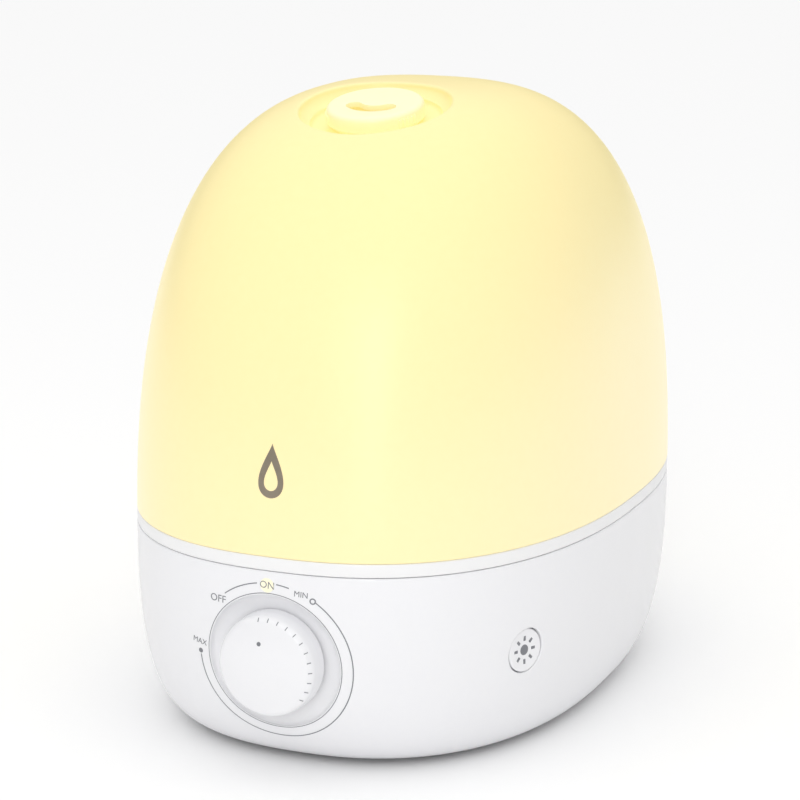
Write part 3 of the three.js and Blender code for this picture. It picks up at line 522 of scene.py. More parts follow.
def publish(
    name: str, mesh: Mesh, finish: Finish, *replaces: str, body: Body = Body.BASE, slot: str = ""
) -> Object:
    """Makes a finished piece, sets it on its body and hides the CAD nodes that it stands for.

    Args:
        name: The piece's name.
        mesh: Its mesh, in place, in metres.
        finish: Its finish.
        replaces: The CAD nodes that it stands for.
        body: The body that it rides on.
        slot: Not used.

    Returns:
        The piece.
    """
    mesh.materials.clear()
    mesh.materials.append(finish.material())
    piece = in_scene(name, mesh)
    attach(piece, body.value)
    slot or finish.slot
    if replaces:
        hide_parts(*replaces)
    log.info("%s rides on %s with %d faces", name, body.value, len(mesh.polygons))
    return piece


# ---------------------------------------------------------------- the outer form


def superellipse(
    angles: np.ndarray, wide: float, deep: float, exponent: float
) -> tuple[np.ndarray, np.ndarray]:
    """Points on a superellipse round the origin, at bearings from it."""
    cos, sin = np.cos(angles), np.sin(angles)
    reach = ((abs(cos) / wide) ** exponent + (abs(sin) / deep) ** exponent) ** (-1 / exponent)
    return reach * cos, reach * sin


@dataclass(frozen=True)
class Form:
    """The outer form: level sections are superellipses that draw in above and below the widest one."""

    half_width: float
    half_depth: float
    centre_y: float
    top: float
    widest_z: float = 63.8
    exponent: float = 2.4
    side_rise: float = 2.59
    side_round: float = 3.2
    front_rise: float = 2.4
    front_round: float = 2.58
    bowl_foot: float = 0.58
    bowl_rise: float = 2.31
    bowl_round: float = 4.95

    def halves(self, z: np.ndarray | float, inset: float = 0.0) -> tuple[np.ndarray, np.ndarray]:
        """The half-width and half-depth at some heights, moved in by an inset."""
        z = np.asarray(z, float)
        up = np.clip((z - self.widest_z) / (self.top - self.widest_z), 0, 1)
        down = np.clip((self.widest_z - z) / self.widest_z, 0, 1)
        bowl = self.bowl_foot + (1 - self.bowl_foot) * (1 - down**self.bowl_rise) ** (1 / self.bowl_round)
        side = np.where(z < self.widest_z, bowl, (1 - up**self.side_rise) ** (1 / self.side_round))
        front = np.where(z < self.widest_z, bowl, (1 - up**self.front_rise) ** (1 / self.front_round))
        return self.half_width * side - inset, self.half_depth * front - inset

    def ring(
        self, angles: np.ndarray, z: float, inset: float = 0.0, scale: float | None = None
    ) -> np.ndarray:
        """A level ring of points at bearings from the axis, on the form or at its widest section's scale."""
        wide, deep = self.halves(z, inset)
        if scale is not None:
            wide, deep = self.half_width * scale - inset, self.half_depth * scale - inset
        x, y = superellipse(angles, wide, deep, self.exponent)
        return np.stack([x, self.centre_y + y, np.full(len(angles), float(z))], 1)

    def outside(self, points: np.ndarray, inset: float = 0.0) -> np.ndarray:
        """Whether each point lies outside the form."""
        wide, deep = self.halves(points[:, 2], inset)
        level = (abs(points[:, 0]) / np.maximum(wide, 1e-6)) ** self.exponent
        level = level + (abs(points[:, 1] - self.centre_y) / np.maximum(deep, 1e-6)) ** self.exponent
        return (level > 1) | (points[:, 2] > self.top - inset)

    def land(self, points: np.ndarray, way: np.ndarray, reach: float, inset: float = 0.0) -> np.ndarray:
        """Moves points along a direction until they lie on the form.

        Args:
            points: Points inside the form, one in each row.
            way: One direction, or one for each point.
            reach: How far to look, either way.
            inset: How far inside the form to land.

        Returns:
            The landed points.
        """
        near, far = np.full(len(points), -reach), np.full(len(points), reach)
        for _ in range(44):
            middle = (near + far) / 2
            out = self.outside(points + middle[:, None] * way, inset)
            near, far = np.where(out, near, middle), np.where(out, middle, far)
        return points + near[:, None] * way


_, SHELL_HIGH = millimetres("tank_shell")
BASE_LOW, BASE_HIGH = millimetres("base_shell")
FORM = Form(
    half_width=float(BASE_HIGH[0] - BASE_LOW[0]) / 2, half_depth=float(BASE_HIGH[1] - BASE_LOW[1]) / 2,
    centre_y=float(BASE_HIGH[1] + BASE_LOW[1]) / 2, top=float(SHELL_HIGH[2]),
)


@dataclass(frozen=True)
class Opening:
    """A round hole through a shell's wall, with the loops that line it.

    Each liner entry is (radius, blend, sink): the loop lies between the rim's own line, at blend 0, and the
    flat floor, at blend 1, and then sinks further in.
    """

    centre: np.ndarray
    out: np.ndarray
    block: float
    outer_radius: float
    inner_radius: float
    liner: tuple[tuple[float, float, float], ...]
    floor: float = 0.0
    floor_fall: float = 0.0

    def axes(self) -> tuple[np.ndarray, np.ndarray]:
        """The directions across and up the opening."""
        up = np.array([0.0, 0.0, 1.0])
        return np.cross(up, self.out), up

    def flat(self, points: np.ndarray) -> tuple[np.ndarray, np.ndarray]:
        """The places of points across and up the opening."""
        across, up = self.axes()
        return (points - self.centre) @ across, (points - self.centre) @ up

    def on_wall(self, across: np.ndarray, up: np.ndarray, inset: float) -> np.ndarray:
        """Points on the wall, or inside it by an inset, at places across and up the opening."""
        side, top = self.axes()
        return FORM.land(self.centre + across[:, None] * side + up[:, None] * top, self.out, 24.0, inset)

    def loops(self, outer: np.ndarray, inner: np.ndarray, wall: float) -> list[np.ndarray]:
        """The loops from the outer skin's gap, through the hole, to the inner skin's gap."""
        side, top = self.axes()
        across, up = self.flat(outer)
        bearing = np.arctan2(up, across)
        cos, sin = np.cos(bearing), np.sin(bearing)

        def spread(
            edge: np.ndarray, radius: float, inset: float, shares: Sequence[float]
        ) -> list[np.ndarray]:
            """Loops that turn from the gap's square edge to a circle on the wall."""
            a, b = self.flat(edge)
            return [
                self.on_wall(a + (radius * cos - a) * s, b + (radius * sin - b) * s, inset) for s in shares
            ]

        shares = (0.3, 0.55, 0.75, 0.9, 1.0)
        made = [outer, *spread(outer, self.outer_radius, 0.0, shares)]
        rim = (made[-1] - self.centre) @ self.out
        for radius, blend, sink in self.liner:
            floor = self.floor + self.floor_fall * radius * sin
            depth = rim * (1 - blend) + floor * blend - sink
            flat = radius * (cos[:, None] * side + sin[:, None] * top)
            made.append(self.centre + flat + depth[:, None] * self.out)
        made.extend(reversed(spread(inner, self.inner_radius, wall, shares)))
        return [*made, inner]


# ---------------------------------------------------------------- geometry node trees


def new_tree(name: str, sizes: dict[str, float]) -> tuple[NodeTree, NodeOutputs]:
    """A geometry tree with named size inputs.

    Args:
        name: The tree's name.
        sizes: Each input with its default, whole for a count.

    Returns:
        The tree and its inputs.
    """
    tree = bpy.data.node_groups.new(name, "GeometryNodeTree")
    tree.interface.new_socket("Geometry", in_out="INPUT", socket_type="NodeSocketGeometry")
    for label, value in sizes.items():
        kind = "NodeSocketInt" if isinstance(value, int) else "NodeSocketFloat"
        tree.interface.new_socket(label, in_out="INPUT", socket_type=kind).default_value = value
    tree.interface.new_socket("Geometry", in_out="OUTPUT", socket_type="NodeSocketGeometry")
    return tree, add_node(tree, "NodeGroupInput").outputs


def end_tree(tree: NodeTree, geometry: NodeSocket, finish: Finish) -> None:
    """Ends a tree in realized, finished geometry."""
    real = add_node(tree, "GeometryNodeRealizeInstances", {"Geometry": geometry})
    dressed = add_node(
        tree, "GeometryNodeSetMaterial", {"Geometry": real.outputs["Geometry"], "Material": finish.material()}
    )
    add_node(tree, "NodeGroupOutput", {"Geometry": dressed.outputs["Geometry"]})


def grown(name: str, seed: Mesh | None, tree: NodeTree, sizes: dict[str, float], place: Matrix) -> Mesh:
    """The plain mesh that a tree makes from a seed mesh.

    Args:
        name: The mesh's name.
        seed: What the tree repeats, in metres, or nothing for a tree that needs no seed.
        tree: The geometry tree.
        sizes: Values for its named inputs, in metres and radians.
        place: Where the result goes, in millimetres.

    Returns:
        The mesh, in place, in metres.
    """

    def grow(holder: Object) -> None:
        """Adds the tree with its sizes."""
        modifier = holder.modifiers.new("grow", "NODES")
        modifier.node_group = tree
        for item in tree.interface.items_tree:
            if item.in_out == "INPUT" and item.name in sizes:
                modifier[item.identifier] = sizes[item.name]

    made = evaluated(seed or bpy.data.meshes.new("seed"), grow)
    scale = Matrix.Scale(MM, 4)
    made.transform(scale @ place @ scale.inverted())
    made.name = name
    return tidied(made)


def round_array(finish: Finish) -> NodeTree:
    """A tree that repeats its seed round an arc, each copy turned to face out.

    The seed points along +X from the arc's middle. The arc starts at +X and turns towards +Y.
    """
    tree, sizes = new_tree(
        f"round_array_{finish.name}", {"Copies": 8, "Radius": 0.01, "Start": 0.0, "Step": TURN / 8}
    )
    line = add_node(tree, "GeometryNodeMeshLine", {"Count": sizes["Copies"], "Offset": (0, 0, 0)})
    index = add_node(tree, "GeometryNodeInputIndex")
    angle = add_node(
        tree, "ShaderNodeMath", {0: index.outputs["Index"], 1: sizes["Step"], 2: sizes["Start"]},
        {"operation": "MULTIPLY_ADD"},
    )
    arm = add_node(tree, "ShaderNodeCombineXYZ", {"X": sizes["Radius"]})
    spot = add_node(
        tree, "ShaderNodeVectorRotate", {"Vector": arm.outputs["Vector"], "Angle": angle.outputs["Value"]},
        {"rotation_type": "Z_AXIS"},
    )
    placed = add_node(
        tree, "GeometryNodeSetPosition",
        {"Geometry": line.outputs["Mesh"], "Position": spot.outputs["Vector"]},
    )
    facing = add_node(tree, "ShaderNodeCombineXYZ", {"Z": angle.outputs["Value"]})
    copies = add_node(
        tree, "GeometryNodeInstanceOnPoints",
        {
            "Points": placed.outputs["Geometry"], "Instance": sizes["Geometry"],
            "Rotation": facing.outputs["Vector"],
        },
    )
    end_tree(tree, copies.outputs["Instances"], finish)
    return tree


def band_tree(finish: Finish) -> NodeTree:
    """A tree that sweeps a rounded rectangle along a level superellipse."""
    tree, sizes = new_tree(
        "superellipse_band",
        {
            "Half Width": 0.08, "Half Depth": 0.12, "Exponent": 2.4, "Thickness": 0.003, "Height": 0.004,
            "Edge Radius": 0.0004, "Points": 360,
        },
    )
    circle = add_node(
        tree, "GeometryNodeCurvePrimitiveCircle", {"Resolution": sizes["Points"], "Radius": 1.0}
    )
    spot = add_node(tree, "GeometryNodeInputPosition")
    parts = add_node(tree, "ShaderNodeSeparateXYZ", {"Vector": spot.outputs["Position"]})

    def share(part: str, half: str) -> NodeSocket:
        """One axis's share of the superellipse sum."""
        ratio = add_node(
            tree, "ShaderNodeMath", {0: parts.outputs[part], 1: sizes[half]}, {"operation": "DIVIDE"}
        )
        size = add_node(tree, "ShaderNodeMath", {0: ratio.outputs["Value"]}, {"operation": "ABSOLUTE"})
        power = {0: size.outputs["Value"], 1: sizes["Exponent"]}
        return add_node(tree, "ShaderNodeMath", power, {"operation": "POWER"}).outputs["Value"]

    total = add_node(
        tree, "ShaderNodeMath", {0: share("X", "Half Width"), 1: share("Y", "Half Depth")},
        {"operation": "ADD"},
    )
    root = add_node(tree, "ShaderNodeMath", {0: -1.0, 1: sizes["Exponent"]}, {"operation": "DIVIDE"})
    reach = add_node(
        tree, "ShaderNodeMath", {0: total.outputs["Value"], 1: root.outputs["Value"]}, {"operation": "POWER"}
    )
    moved = add_node(
        tree, "ShaderNodeVectorMath", {0: spot.outputs["Position"], "Scale": reach.outputs["Value"]},
        {"operation": "SCALE"},
    )
    path = add_node(
        tree, "GeometryNodeSetPosition",
        {"Geometry": circle.outputs["Curve"], "Position": moved.outputs["Vector"]},
    )
    section = add_node(
        tree, "GeometryNodeCurvePrimitiveQuadrilateral",
        {"Width": sizes["Thickness"], "Height": sizes["Height"]},
    )
    soft = add_node(
        tree, "GeometryNodeFilletCurve",
        {"Curve": section.outputs["Curve"], "Radius": sizes["Edge Radius"], "Count": 4}, {"mode": "POLY"},
    )
    swept = add_node(
        tree, "GeometryNodeCurveToMesh",
        {"Curve": path.outputs["Geometry"], "Profile Curve": soft.outputs["Curve"]},
    )
    end_tree(tree, swept.outputs["Mesh"], finish)
    return tree


# ---------------------------------------------------------------- base


def middle_of(node: str) -> np.ndarray:
    """The middle of a CAD node's box, in millimetres."""
    low, high = millimetres(node)
    return (low + high) / 2


def joint_axis(name: str) -> np.ndarray:
    """A joint's axis."""
    found = next(joint for joint in frame["joints"] if joint["name"] == name)
    axis = np.array(found["axis"], float)
    return axis / np.linalg.norm(axis)


KNOB_Z = float(middle_of("knob_shaft")[2])
FRONT_POINT = np.array([0.0, FORM.centre_y - FORM.half_depth, KNOB_Z])
FORWARD = np.array([0.0, -1.0, 0.0])
BUTTON_OUT = -joint_axis("button_press")
BUTTON_POINT = FORM.land(middle_of("switch_plunger")[None, :], BUTTON_OUT, 30.0)[0]
INLET_POINT = FORM.land(
    np.array([[0.0, middle_of("power_inlet")[1], middle_of("power_inlet")[2]]]), -FORWARD, 30.0
)[0]


@dataclass
class BaseShell:
    """The white bowl with the knob's dish, the button's hole and the inlet's hole."""

    wall: float = 2.5
    top: float = 70.22
    bottom: float = 2.5
    pocket_top: float = 5.0
    flange_top: float = 8.0
    pocket_scale: float = 0.78
    opening_scale: float = 0.62
    row_step: float = 0.85
    dish_radius: float = 23.25
    dish_floor_radius: float = 17.9
    dish_steps: int = 12
    bushing_radius: float = 4.9
    button_radius: float = 7.75
    inlet_radius: float = 5.9
    fine_step: float = 0.42
    coarse_step: float = 1.6

    def openings(self) -> list[Opening]:
        """The dish, the button's hole and the inlet's hole."""
        lip = ((self.dish_radius - 0.1, 0.0, 0.12), (self.dish_radius - 0.16, 0.0, 0.42))
        bowl = []
        for step in range(1, self.dish_steps + 1):
            share = step / self.dish_steps
            sag = math.sqrt(1 - (1 - share) ** 2)
            radius = lip[1][0] + (self.dish_floor_radius - lip[1][0]) * share
            bowl.append((radius, sag, 0.42 * (1 - sag)))
        boss_back = 3.6
        hub = [(10.0, 1.0, 0.0), (self.bushing_radius, 1.0, 0.0), (self.bushing_radius, 1.0, boss_back)]
        dish = Opening(
            centre=FRONT_POINT, out=FORWARD, block=26.0, outer_radius=self.dish_radius,
            inner_radius=self.dish_radius + 1.6,
            liner=(*lip, *bowl, *hub, (self.dish_radius + 1.5, 1.0, boss_back)), floor=-6.2, floor_fall=0.068,
        )

        def hole(point: np.ndarray, out: np.ndarray, radius: float, block_half: float) -> Opening:
            """A plain hole with a softened rim."""
            liner = (
                (radius + 0.18, 0.0, 0.03), (radius + 0.05, 0.0, 0.14), (radius, 0.0, 0.32),
                (radius, 0.0, self.wall - 0.4),
            )
            return Opening(point, out, block_half, radius + 0.4, radius + 0.1, liner)

        return [
            dish, hole(BUTTON_POINT, BUTTON_OUT, self.button_radius, 10.2),
            hole(INLET_POINT, -FORWARD, self.inlet_radius, 8.4),
        ]

    def bearings(self, openings: list[Opening]) -> np.ndarray:
        """Bearings round the shell, close together where an opening needs them."""
        dense = []
        for opening in openings:
            middle = math.atan2(opening.centre[1] - FORM.centre_y, opening.centre[0])
            distance = math.hypot(opening.centre[0], opening.centre[1] - FORM.centre_y)
            reach = (opening.block + 2) / distance
            dense.append((middle - reach, middle + reach))
        made, angle = [], -math.pi / 2 - 0.3
        end = angle + TURN
        while angle < end - math.radians(self.fine_step) / 2:
            made.append(angle)
            near = any(low <= a <= high for low, high in dense for a in (angle, angle - TURN))
            angle += math.radians(self.fine_step if near else self.coarse_step)
        return np.array(made)

    def mesh(self) -> Mesh:
        """The shell's mesh."""
        openings = self.openings()
        bearings = self.bearings(openings)
        heights = np.concatenate(
            [[3.6, 4.4, 5.4, 6.6, 8.0, 9.6, 11.2], np.arange(12.8, 66.6, self.row_step), [67.4, 68.4, 69.4]]
        )
        under = [
            FORM.ring(bearings, z, inset, scale)
            for z, inset, scale in (
                (self.flange_top, 0, self.opening_scale), (self.pocket_top, 0, self.opening_scale),
                (self.pocket_top, 0, self.pocket_scale), (self.bottom + 0.2, 0, self.pocket_scale),
                (self.bottom, -0.25, self.pocket_scale), (self.bottom, 1.6, None),
                (self.bottom + 0.08, 0.8, None), (self.bottom + 0.32, 0.3, None),
                (self.bottom + 0.65, 0.06, None),
            )
        ]
        outer = [FORM.ring(bearings, z) for z in heights]
        rim = [
            FORM.ring(bearings, z, inset)
            for z, inset in (
                (self.top - 0.36, 0.03), (self.top - 0.16, 0.12), (self.top - 0.04, 0.28), (self.top, 0.5),
                (self.top, self.wall - 0.4), (self.top - 0.1, self.wall - 0.12), (self.top - 0.35, self.wall),
            )
        ]
        inner = [FORM.ring(bearings, z, self.wall) for z in heights if z > self.flange_top + 1]
        skipped = len(outer) - len(inner)
        foot = [
            FORM.ring(bearings, self.flange_top + 0.4, self.wall + 0.3),
            FORM.ring(bearings, self.flange_top, self.wall + 1),
        ]
        gaps, liners = [], []
        for opening in openings:
            across, _ = opening.flat(FORM.ring(bearings, opening.centre[2]))
            facing = (FORM.ring(bearings, opening.centre[2]) - [0, FORM.centre_y, 0]) @ opening.out > 0
            columns = np.flatnonzero((abs(across) < opening.block) & facing)
            rows = np.flatnonzero(abs(heights - opening.centre[2]) < opening.block)
            left, right, low, high = columns[0], columns[-1], rows[0], rows[-1]
            gaps.append((left, right, low, high))
            edge = [(low, c) for c in range(left, right)] + [(r, right) for r in range(low, high)]
            edge += [(high, c) for c in range(right, left, -1)] + [(r, left) for r in range(high, low, -1)]
            outer_edge = np.array([outer[r][c] for r, c in edge])
            inner_edge = np.array([inner[r - skipped][c] for r, c in edge])
            liners.append(opening.loops(outer_edge, inner_edge, self.wall))
        first_outer, first_inner = len(under), len(under) + len(outer) + len(rim)

        def gap(row: int, column: int) -> bool:
            """Whether an opening takes the place of this cell."""
            up = row - first_outer
            down = len(outer) - 2 - (row - first_inner)
            level = up if row < first_outer + len(outer) else down
            on_wall = 0 <= level < len(outer) and not len(under) + len(outer) <= row < first_inner
            return on_wall and any(a <= column < b and c <= level < d for a, b, c, d in gaps)

        shape = LoopMesh()
        shape.add([*under, *outer, *rim, *reversed(inner), *foot], ring=True, gaps=gap)
        for liner in liners:
            shape.add(liner)
        return shape.mesh("base_bowl", 40.0)

    def build(self) -> None:
        """Makes the shell."""
        publish("base_bowl", self.mesh(), WHITE_ABS, "base_shell")


@dataclass
class MistKnob:
    """The domed knob with its tick marks, its dimple painted as a grey disc of shade, and its shaft."""

    radius: float = 17.1
    height: float = 11.1
    hollow: float = 14.8
    ticks: int = 12
    tick_radius: float = 15.9
    tick_first: float = 98.0
    tick_step: float = -12.2
    dimple_radius: float = 0.72
    dimple_arm: float = 8.4
    dimple_bearing: float = 98.0

    def frame(self) -> Matrix:
        """The knob's frame: +Z points forward out of the dish from the knob's back."""
        low, high = millimetres("mist_knob")
        return at(0, float(high[1]), KNOB_Z) @ Matrix.Rotation(math.pi / 2, 4, "X")

    def face(self, radius: float) -> float:
        """The height of the domed face at a radius."""
        return self.height - 1.5 * (radius / 12.5) ** 2.3

    def build(self) -> None:
        """Makes the knob, its marks and its shaft."""
        place = self.frame()
        dome = [(r, self.face(r)) for r in np.linspace(0, 12.5, 18)]
        edge = rounded(
            [
                (12.5, self.face(12.5)), (16.7, self.height - 2.5, 4.2), (17.0, 3.6, 1.5), (self.radius, 0.5),
                (self.radius, 0.0, 0.3), (self.hollow, 0.0, 0.3), (self.hollow, self.height - 4.6, 1.2),
                (5.2, self.height - 3.0),
            ],
            steps=8,
        )
        hub = [(5.2, 1.6), (3.3, 1.6), (3.3, self.height - 4.0), (0.0, self.height - 4.0)]
        knob = turned("mist_knob_cap", [*dome, *edge[1:], *hub], place, 144)
        publish("mist_knob_cap", knob, WHITE_ABS, "mist_knob", body=Body.KNOB)
        shoulder = np.array([point[:2] for point in edge if point[0] > 12.4 and point[1] > 4.0])
        shoulder = shoulder[np.argsort(shoulder[:, 0])]
        low, height, high = np.interp(
            self.tick_radius + np.array([-0.4, 0.0, 0.4]), shoulder[:, 0], shoulder[:, 1]
        )
        lean = math.atan2(low - high, 0.8)
        seed = block("tick", (-0.7, -0.13, -0.1), (0.7, 0.13, 0.07), Matrix.Rotation(lean, 4, "Y"))
        spread = (math.radians(self.tick_first), math.radians(self.tick_step))
        front = place @ at(0, 0, height)
        marks = round_copies("knob_ticks", seed, GREY_INK_AND_PAINTED_SHADE, self.ticks, self.tick_radius, front, *spread)
        publish("knob_ticks", marks, GREY_INK_AND_PAINTED_SHADE, body=Body.KNOB)
        bearing = Matrix.Rotation(math.radians(self.dimple_bearing), 4, "Z")
        fall = math.atan2(self.face(self.dimple_arm - 0.5) - self.face(self.dimple_arm + 0.5), 1.0)
        arm = bearing @ at(self.dimple_arm, 0, self.face(self.dimple_arm)) @ Matrix.Rotation(fall, 4, "Y")
        # The dimple isn't cut: a grey disc a little proud of the face paints the shade in its hollow
        dot = [(0, -0.1), (self.dimple_radius, -0.1), (self.dimple_radius, 0.04), (0, 0.06)]
        mark = turned("knob_dimple_painted_shade", dot, place @ arm, 24)
        publish("knob_dimple_painted_shade", mark, GREY_INK_AND_PAINTED_SHADE, body=Body.KNOB)


@dataclass
class LightButton:
    """The round light button with its dished face and sun mark."""

    radius: float = 7.3
    rim_depth: float = 0.55
    dish: float = 0.45
    dish_rim: float = 6.6
    flange: float = 8.6
    flange_depth: float = 3.4
    depth: float = 4.6
    core_radius: float = 1.8
    rays: int = 8
    ray_middle: float = 4.0
    ray_half: float = 0.85
    ray_width: float = 1.0

    def frame(self) -> Matrix:
        """The button's frame: +Z points out of the wall and +Y up."""
        side = np.cross([0.0, 0.0, 1.0], BUTTON_OUT)
        columns = (side, (0.0, 0.0, 1.0), BUTTON_OUT)
        turn = Matrix([[columns[c][r] for c in range(3)] for r in range(3)]).to_4x4()
        return Matrix.Translation(BUTTON_POINT) @ turn

    def build(self) -> None:
        """Makes the button and its mark."""
        place = self.frame()
        low = -self.rim_depth - self.dish
        face = [(r, low + self.dish * (r / self.dish_rim) ** 2) for r in np.linspace(0, 6.4, 10)]
        side = rounded(
            [
                (6.4, low + self.dish * (6.4 / self.dish_rim) ** 2), (6.9, -self.rim_depth, 0.25),
                (self.radius, -self.rim_depth - 0.15, 0.3), (self.radius, -self.flange_depth),
                (self.flange, -self.flange_depth, 0.2), (self.flange, -self.depth, 0.2), (2.0, -self.depth),
                (2.0, -8.0), (0.0, -8.0),
            ]
        )
        publish(
            "light_button_cap", turned("light_button_cap", [*face, *side[1:]], place, 96), WHITE_ABS,
            "light_button", body=Body.BUTTON,
        )
        disc = rounded(
            [
                (0, low - 0.1), (self.core_radius, low - 0.1), (self.core_radius, low + 0.09, 0.05),
                (0, low + 0.09),
            ]
        )
        publish("sun_core", turned("sun_core", disc, place, 40), GREY_INK_AND_PAINTED_SHADE, body=Body.BUTTON)
        seed = block(
            "ray", (-self.ray_half, -self.ray_width / 2, -0.12), (self.ray_half, self.ray_width / 2, 0.1)
        )
        seed = softened(seed, 0.24, 60.0, 3)
        front = place @ at(0, 0, low + self.dish * (self.ray_middle / self.dish_rim) ** 2)
        rays = round_copies("sun_rays", seed, GREY_INK_AND_PAINTED_SHADE, self.rays, self.ray_middle, front)
        publish("sun_rays", rays, GREY_INK_AND_PAINTED_SHADE, body=Body.BUTTON)


def skinned(name: str, work: bmesh.types.BMesh, height: float, rise: float, sunk: float) -> Mesh:
    """Lays flat faces on the front wall as a thin skin.

    Args:
        name: The finished mesh's name.
        work: Faces in X and Y, in millimetres. It is used up.
        height: Where their origin lies up the wall.
        rise: How far the skin stands out of the wall.
        sunk: How far it reaches into the wall.

    Returns:
        The skin, in place, in metres.
    """
    skin = bmesh.ops.extrude_face_region(work, geom=work.faces[:])
    lifted = {item for item in skin["geom"] if isinstance(item, bmesh.types.BMVert)}
    points = np.array([(v.co.x, FORM.centre_y, height + v.co.y) for v in work.verts])
    landed = FORM.land(points, FORWARD, FORM.half_depth + 4)
    for vertex, place in zip(work.verts, landed):
        vertex.co = Vector((place + FORWARD * (rise if vertex in lifted else -sunk)) * MM)
    bmesh.ops.recalc_face_normals(work, faces=work.faces)
    return drained(work, name)


@dataclass
class DialPrint:
    """The printed arcs, dots and words round the knob, laid on the curved wall."""

    line: float = 0.34
    arc_radius: float = 27.2
    rise: float = 0.05
    sunk: float = 0.12
    dot_radius: float = 0.85
    ring_radius: float = 0.86
    turns: int = 4

    def laid(self, name: str, flat: Mesh) -> Mesh:
        """Lays a flat drawing, with the knob's axis at its origin, on the wall as a thin skin."""
        work = bmesh.new()
        work.from_mesh(flat)
        bmesh.ops.remove_doubles(work, verts=work.verts, dist=1e-4)
        return skinned(name, work, KNOB_Z, self.rise, self.sunk)

    def stroke(
        self, centre: tuple[float, float], radius: float, first: float, last: float, line: float
    ) -> Mesh:
        """A flat arc, clockwise from the top by degrees."""
        count = max(8, int(abs(last - first) / 1.5))
        angles = np.radians(90 - np.linspace(first, last, count + 1))
        points, faces = [], []
        for reach in (radius - line / 2, radius + line / 2):
            points += [(centre[0] + reach * math.cos(a), centre[1] + reach * math.sin(a), 0) for a in angles]
        for i in range(count):
            faces.append((i, i + 1, count + 2 + i, count + 1 + i))
        made = bpy.data.meshes.new("stroke")
        made.from_pydata(points, [], faces)
        return made

    def disc(self, centre: tuple[float, float], radius: float) -> Mesh:
        """A flat disc."""
        sides = 32
        points = [
            (
                centre[0] + radius * math.cos(TURN * i / sides),
                centre[1] + radius * math.sin(TURN * i / sides), 0,
            )
            for i in range(sides)
        ]
        made = bpy.data.meshes.new("disc")
        made.from_pydata(points, [], [tuple(range(sides))])
        return made

    def word(self, text: str, height: float, middle: tuple[float, float], lean: float) -> Mesh:
        """A flat word, centred, with its capitals at a height and leaning by degrees."""
        curve = bpy.data.curves.new(text, "FONT")
        curve.body = text
        curve.size = height / 0.72
        curve.align_x = "CENTER"
        curve.align_y = "CENTER"
        curve.resolution_u = self.turns
        holder = in_scene(text, curve)
        bpy.context.view_layer.update()
        made = bpy.data.meshes.new_from_object(holder.evaluated_get(bpy.context.evaluated_depsgraph_get()))
        bpy.data.objects.remove(holder)
        made.transform(at(*middle) @ Matrix.Rotation(math.radians(lean), 4, "Z"))
        return made

    def build(self) -> None:
        """Prints the dial."""

        def on_arc(bearing: float, radius: float | None = None) -> tuple[float, float]:
            """A place by degrees clockwise from the top."""
            reach = radius or self.arc_radius
            return (reach * math.sin(math.radians(bearing)), reach * math.cos(math.radians(bearing)))

        full = self.arc_radius
        drawings = {
            "dial_arc": self.stroke((0, 0), full, 35.4, 266.5, self.line),
            "dial_arc_off_on": self.stroke((0, 0), full - 0.2, -37.5, -9.5, self.line),
            "dial_arc_on_min": self.stroke((0, 0), full - 0.2, 5, 14.5, self.line),
            "dish_line": self.stroke((0, 0), 23.66, 0, 360, 0.24),
            "dial_min_ring": self.stroke(on_arc(33.2, full - 0.2), self.ring_radius, 0, 360, 0.42),
            "dial_max_dot": self.disc(on_arc(269), self.dot_radius),
            "dial_off": self.word("OFF", 2.5, on_arc(-44.8, full - 0.1), -3),
            "dial_on": self.word("ON", 2.4, on_arc(-1.9, full - 0.9), -4),
            "dial_min": self.word("MIN", 1.95, on_arc(24, full - 0.5), -4),
            "dial_max": self.word("MAX", 1.95, on_arc(276, full + 0.3), -8),
        }
        for name, flat in drawings.items():
            publish(name, self.laid(name, flat), GREY_INK_AND_PAINTED_SHADE)
        # A disc with a painted glow round the word ON, standing in for a lamp behind it
        glow = self.laid("dial_on_window", self.disc(on_arc(-1.9, full - 0.9), 2.4))
        publish("dial_on_window", glow, WINDOW_GLOW)


# ---------------------------------------------------------------- tank


NOZZLE_AXIS = joint_axis("nozzle_swivel")
NOZZLE_FLOOR = 1000 * np.array(
    next(j for j in frame["joints"] if j["name"] == "nozzle_swivel")["pos_m"], float
)


def nozzle_frame() -> Matrix:
    """The frame on the recess floor, with +Z along the nozzle's axis."""
    lean = math.atan2(-NOZZLE_AXIS[1], NOZZLE_AXIS[2])
    return Matrix.Translation(NOZZLE_FLOOR) @ Matrix.Rotation(lean, 4, "X")


